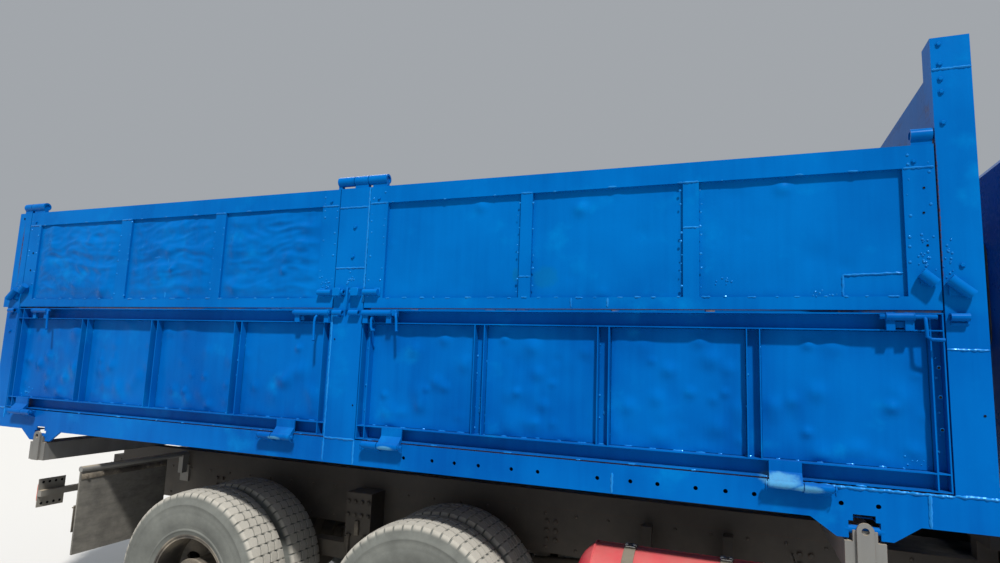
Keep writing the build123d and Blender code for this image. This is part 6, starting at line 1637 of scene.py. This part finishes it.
def blown_pad(name, low, high):
    """A box swollen by cloth pressure, as a mesh object."""
    start = Shape()
    start.block([edge + PAD_SHRINK for edge in low], [edge - PAD_SHRINK for edge in high], PAD_EDGE)
    mesh = bpy.data.meshes.new(name)
    mesh.from_pydata(start.points, [], start.faces)
    pad = bpy.data.objects.new(name, mesh)
    bpy.context.scene.collection.objects.link(pad)
    bpy.context.view_layer.objects.active = pad
    remesh = pad.modifiers.new("remesh", "REMESH")
    remesh.mode = "VOXEL"
    remesh.voxel_size = PAD_VOXEL
    bpy.ops.object.modifier_apply(modifier="remesh")
    rest = [vert.co.copy() for vert in pad.data.vertices]
    cloth_mod = pad.modifiers.new("cloth", "CLOTH")
    cloth_mod.settings.use_pressure = True
    cloth_mod.settings.uniform_pressure_force = PAD_PRESSURE
    cloth_mod.settings.effector_weights.gravity = 0.0
    cloth_mod.settings.tension_stiffness = PAD_STIFFNESS
    cloth_mod.point_cache.frame_end = PAD_STEPS
    for frame_number in range(1, PAD_STEPS + 1):
        bpy.context.scene.frame_set(frame_number)
    bpy.ops.object.modifier_apply(modifier="cloth")
    for vert, before in zip(pad.data.vertices, rest):
        move = vert.co - before
        if move.length > PAD_CAP:
            vert.co = before + move.normalized() * PAD_CAP
    bpy.context.scene.frame_set(1)
    return pad


def sewn(pad, axis, top_axis, lines):
    """Presses sewn channels into one face of a pad."""
    for vert in pad.data.vertices:
        drop = sum(math.exp(-((vert.co[axis] - line) / CHANNEL_WIDTH) ** 2) for line in lines)
        facing = vert.normal[top_axis[0]] * top_axis[1]
        if facing > 0.25:
            vert.co[top_axis[0]] -= top_axis[1] * CHANNEL_DEPTH * min(1.0, drop) * min(1.0, facing * 1.6)


def piping(shape, low, high, level, axis):
    """Cord sewn round a pad at one level along an axis."""
    a, b = [number for number in range(3) if number != axis]
    pairs = ((low[a], low[b]), (high[a], low[b]), (high[a], high[b]), (low[a], high[b]))
    corners = [Vector(pair) for pair in pairs]
    middle = (corners[0] + corners[2]) / 2
    path = []
    for number, corner in enumerate(corners):
        start, end = corner.lerp(corners[number - 1], 0.09), corner.lerp(corners[(number + 1) % 4], 0.09)
        for flat in rounded(start, corner, end, 5):
            flat = flat.lerp(middle, 0.018)
            point = Vector((0.0, 0.0, 0.0))
            point[a], point[b], point[axis] = flat.x, flat.y, level
            path.append(point)
    shape.pipe([*path, path[0]], CORD_RADIUS, 8)


# Pad: low and high corner, axis of its channels, face they are in, where they run, then level and
# axis of its piping
PADS = {
    "cushion": ((2.385, 0.565, 1.446), (2.89, 1.075, 1.562), 1, (2, 1), (0.69, 0.82, 0.95), 1.535, 2),
    "back": ((2.3, 0.575, 1.56), (2.412, 1.065, 2.19), 2, (0, 1), (1.72, 1.88, 2.04), 2.392, 0),
}
for kind, (low, high, axis, face, lines, level, cord_axis) in PADS.items():
    pad = blown_pad(f"seat_{kind}_left", low, high)
    sewn(pad, axis, face, lines)
    pad.data.materials.append(cloth)
    pad.data.polygons.foreach_set("use_smooth", [True] * len(pad.data.polygons))
    other = bpy.data.objects.new(f"seat_{kind}_right", pad.data.copy())
    bpy.context.scene.collection.objects.link(other)
    to_right = Vector((0, -low[1] - high[1], 0))
    for vert in other.data.vertices:
        vert.co += to_right
    for side, piece, shift in (("left", pad, Vector()), ("right", other, to_right)):
        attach(piece, "cab")
        cord = Shape()
        piping(cord, Vector(low) + shift, Vector(high) + shift, level, cord_axis)
        cord.done(f"piping_{kind}_{side}", "cab", black_trim, "seat", 60)
    print(kind, "faces", len(pad.data.polygons))

seat_boxes = dress("seat_boxes", "cab", black_trim, "seat", 45, [
    ("block", (2.395, 0.575, 1.14), (2.85, 1.065, 1.42), 0.02),
    ("block", (2.385, 0.565, 1.418), (2.88, 1.075, 1.44), 0.006),
    ("block", (2.65, 0.6, 1.03), (2.84, 1.04, 1.15), 0.012),
    ("rod", (2.34, 0.66, 1.44), (2.34, 0.66, 1.6), 0.014, 12),
    ("rod", (2.34, 0.98, 1.44), (2.34, 0.98, 1.6), 0.014, 12),
    ("block", (2.326, 0.62, 1.42), (2.4, 1.02, 1.444), 0.004),
    ("rod", (2.86, 0.7, 1.4), (2.905, 0.7, 1.392), 0.007, 10),
    ("turned", (2.905, 0.7, 1.392), (1, 0, -0.1), [(0, 0.01), (0.02, 0.013), (0.034, 0.008)], 12),
])
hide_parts("cab_seats")
print("seats done")

# %% [markdown]
# The ends of the bed. The rear wall and the tall front wall are made like the boards: thin
# sheet behind a lattice of ribs, stitched by hand. The load has bruised them from inside, so
# the bays bulge outward a little. They get the same dented sheets and beads at the ribs, and the
# rear wall also a row of bolts along the top, four rope hooks and two red reflectors.

# %% Bays, beads, hooks and reflectors of the end walls
# Wall: face of the sheet, which way is out, heights of the bays' edges above the sill's underside
WALLS = {
    "rear": (bx(0), -1, (195, 465, 535, 804, 874, 1398), (0.035, 0.525, 0.595, 1.18)),
    "front": (
        bx(5566), 1, (195, 470, 540, 804, 874, 1140, 1210, 1440, 1510, 1837), (0.035, 0.585, 0.655, 1.18),
    ),
}
BAY_STEP = 0.022
# Beads at the edges of a bay: clear of its start and end, length, least and most from one to the next
UPRIGHT_BEADS = (0.01, 0.04, 0.028, 0.07, 0.13)
LEVEL_BEADS = (0.02, 0.05, 0.03, 0.09, 0.16)


def edge_beads(shape, start, end, manner, point):
    """Short beads along one edge; point turns a place along it into a point."""
    clear, stop, length, least, most = manner
    place = start + clear
    while place < end - stop:
        shape.bead(point(place), point(place + length), 0.0035)
        place += shape.random.uniform(least, most)


for wall, (face_x, way, levels, edges) in WALLS.items():
    bays, beads = Shape(), Shape(seed=way + 41)
    stops = [-edge for edge in reversed(edges)] + list(edges)
    bead_x = face_x + way * 0.002
    for left, right in zip(stops[::2], stops[1::2]):
        for low, high in zip(levels[::2], levels[1::2]):
            low, high = [edge / 1000 + ORIGIN_BELOW / 1000 for edge in (low, high)]
            swell = beads.random.uniform(0.004, 0.012)
            lumps = beads.random.uniform(0, 50)

            def bay(u, v):
                y, z = left + u * (right - left), low + v * (high - low)
                push = swell * math.sin(math.pi * u) * math.sin(math.pi * v)
                dent = waves((y * 9, z * 9, lumps)) * 0.003 + waves((y * 26, z * 26, lumps)) * 0.0012
                edge = min(1.0, min(u, 1 - u, v, 1 - v) * 10)
                return (face_x + way * (0.0008 + (push + max(0.0, dent + 0.001)) * edge), y, z)

            bays.grid(max(4, int((right - left) / BAY_STEP)), max(4, int((high - low) / BAY_STEP)), bay)
            for edge_y in (left, right):
                edge_beads(beads, low, high, UPRIGHT_BEADS, lambda height: (bead_x, edge_y, height))
            for edge_z in (low, high):
                edge_beads(beads, left, right, LEVEL_BEADS, lambda place: (bead_x, place, edge_z))
    if way < 0:
        bays.faces = [corners[::-1] for corners in bays.faces]
    bays.done(f"bays_{wall}", "bed", bed_paint, "bed_paint", 60)
    beads.done(f"wall_beads_{wall}", "bed", bed_paint, "bed_paint", 50)

# Half of a rope hook: how far behind the sheet, across from its middle, up from its foot
HOOK = ((0, 0.03, 0.022), (0.03, 0.03, 0.01), (0.04, 0.03, -0.016))
hooks = []
for place in (-1.02, -0.28, 0.28, 1.02):
    half = [(bx(0) - behind, beside, bz(260) + up) for behind, beside, up in HOOK]
    path = [(x, place - y, z) for x, y, z in half] + [(x, place + y, z) for x, y, z in half[::-1]]
    hooks.append(("pipe", path, 0.006, 8))
hooks += [("bolt", (-3.7485, -1.05 + step * 0.21, bz(1425)), BACK, 0.008, 0.007) for step in range(11)]
dress("rope_hooks", "bed", bed_paint, "bed_paint", 45, hooks, (1,))
disc = [(0, 0.04), (0.006, 0.04), (0.009, 0.034), (0.01, 0.01)]
reflector = ("turned", (-3.749, 1.12, bz(165)), BACK, disc, 28)
dress("reflectors", "bed", red_lens, "tail_lamp", 45, [reflector])
print("bays of the end walls", len(bays.faces))

# %% [markdown]
# Inside the bed. A load slides over the floor and scours it, and stones stay in the corners.
# The solid of the floor is flat; a thin skin with a few millimetres of waves keeps it true to
# size and breaks its flat shine. The bolts that hold it to the bearers show as worn discs.

# %% Waves of the floor, worn discs and stones left in the corners
FLOOR_Z = 1.4156
STUD_Z = 1.4165
# Skin of the floor: where it starts, how long it is, half its width
SKIN_BACK, SKIN_LONG, SKIN_HALF = -3.69, 5.546, 1.18


def floor_at(u, v):
    """Point of the floor's skin."""
    x, y = SKIN_BACK + u * SKIN_LONG, -SKIN_HALF + v * 2 * SKIN_HALF
    wave = waves((x * 1.9, y * 2.3, 4.0)) * 0.0022 + waves((x * 8, y * 8, 9.0)) * 0.0009
    edge = min(1.0, min(u, 1 - u, v, 1 - v) * 30)
    return (x, y, FLOOR_Z + max(0.0, wave + 0.0012) * edge)


floor_skin = Shape()
floor_skin.grid(110, 48, floor_at)
floor_skin.done("floor_skin", "bed", bed_paint, "bed_paint", 60)
STUD = [(0, 0.014), (0.0016, 0.013), (0.0022, 0.006)]
studs = Shape(seed=30)
for number in range(10):
    for y in (-0.95, -0.55, -0.18, 0.18, 0.55, 0.95):
        studs.turned((-3.37 + number * 0.57, y, STUD_Z), UP, STUD, 14)
for _ in range(150):
    side_sign = studs.random.choice((-1, 1))
    along = studs.random.uniform(-3.66, 1.83)
    out_by = 1.172 - abs(studs.random.gauss(0, 0.02))
    size = studs.random.uniform(0.003, 0.009)
    studs.dot((along, side_sign * out_by, STUD_Z), UP, size, size * 1.1)
studs.done("floor_studs", "bed", dusty_steel, "bed_paint", 45)
print("floor dressed")
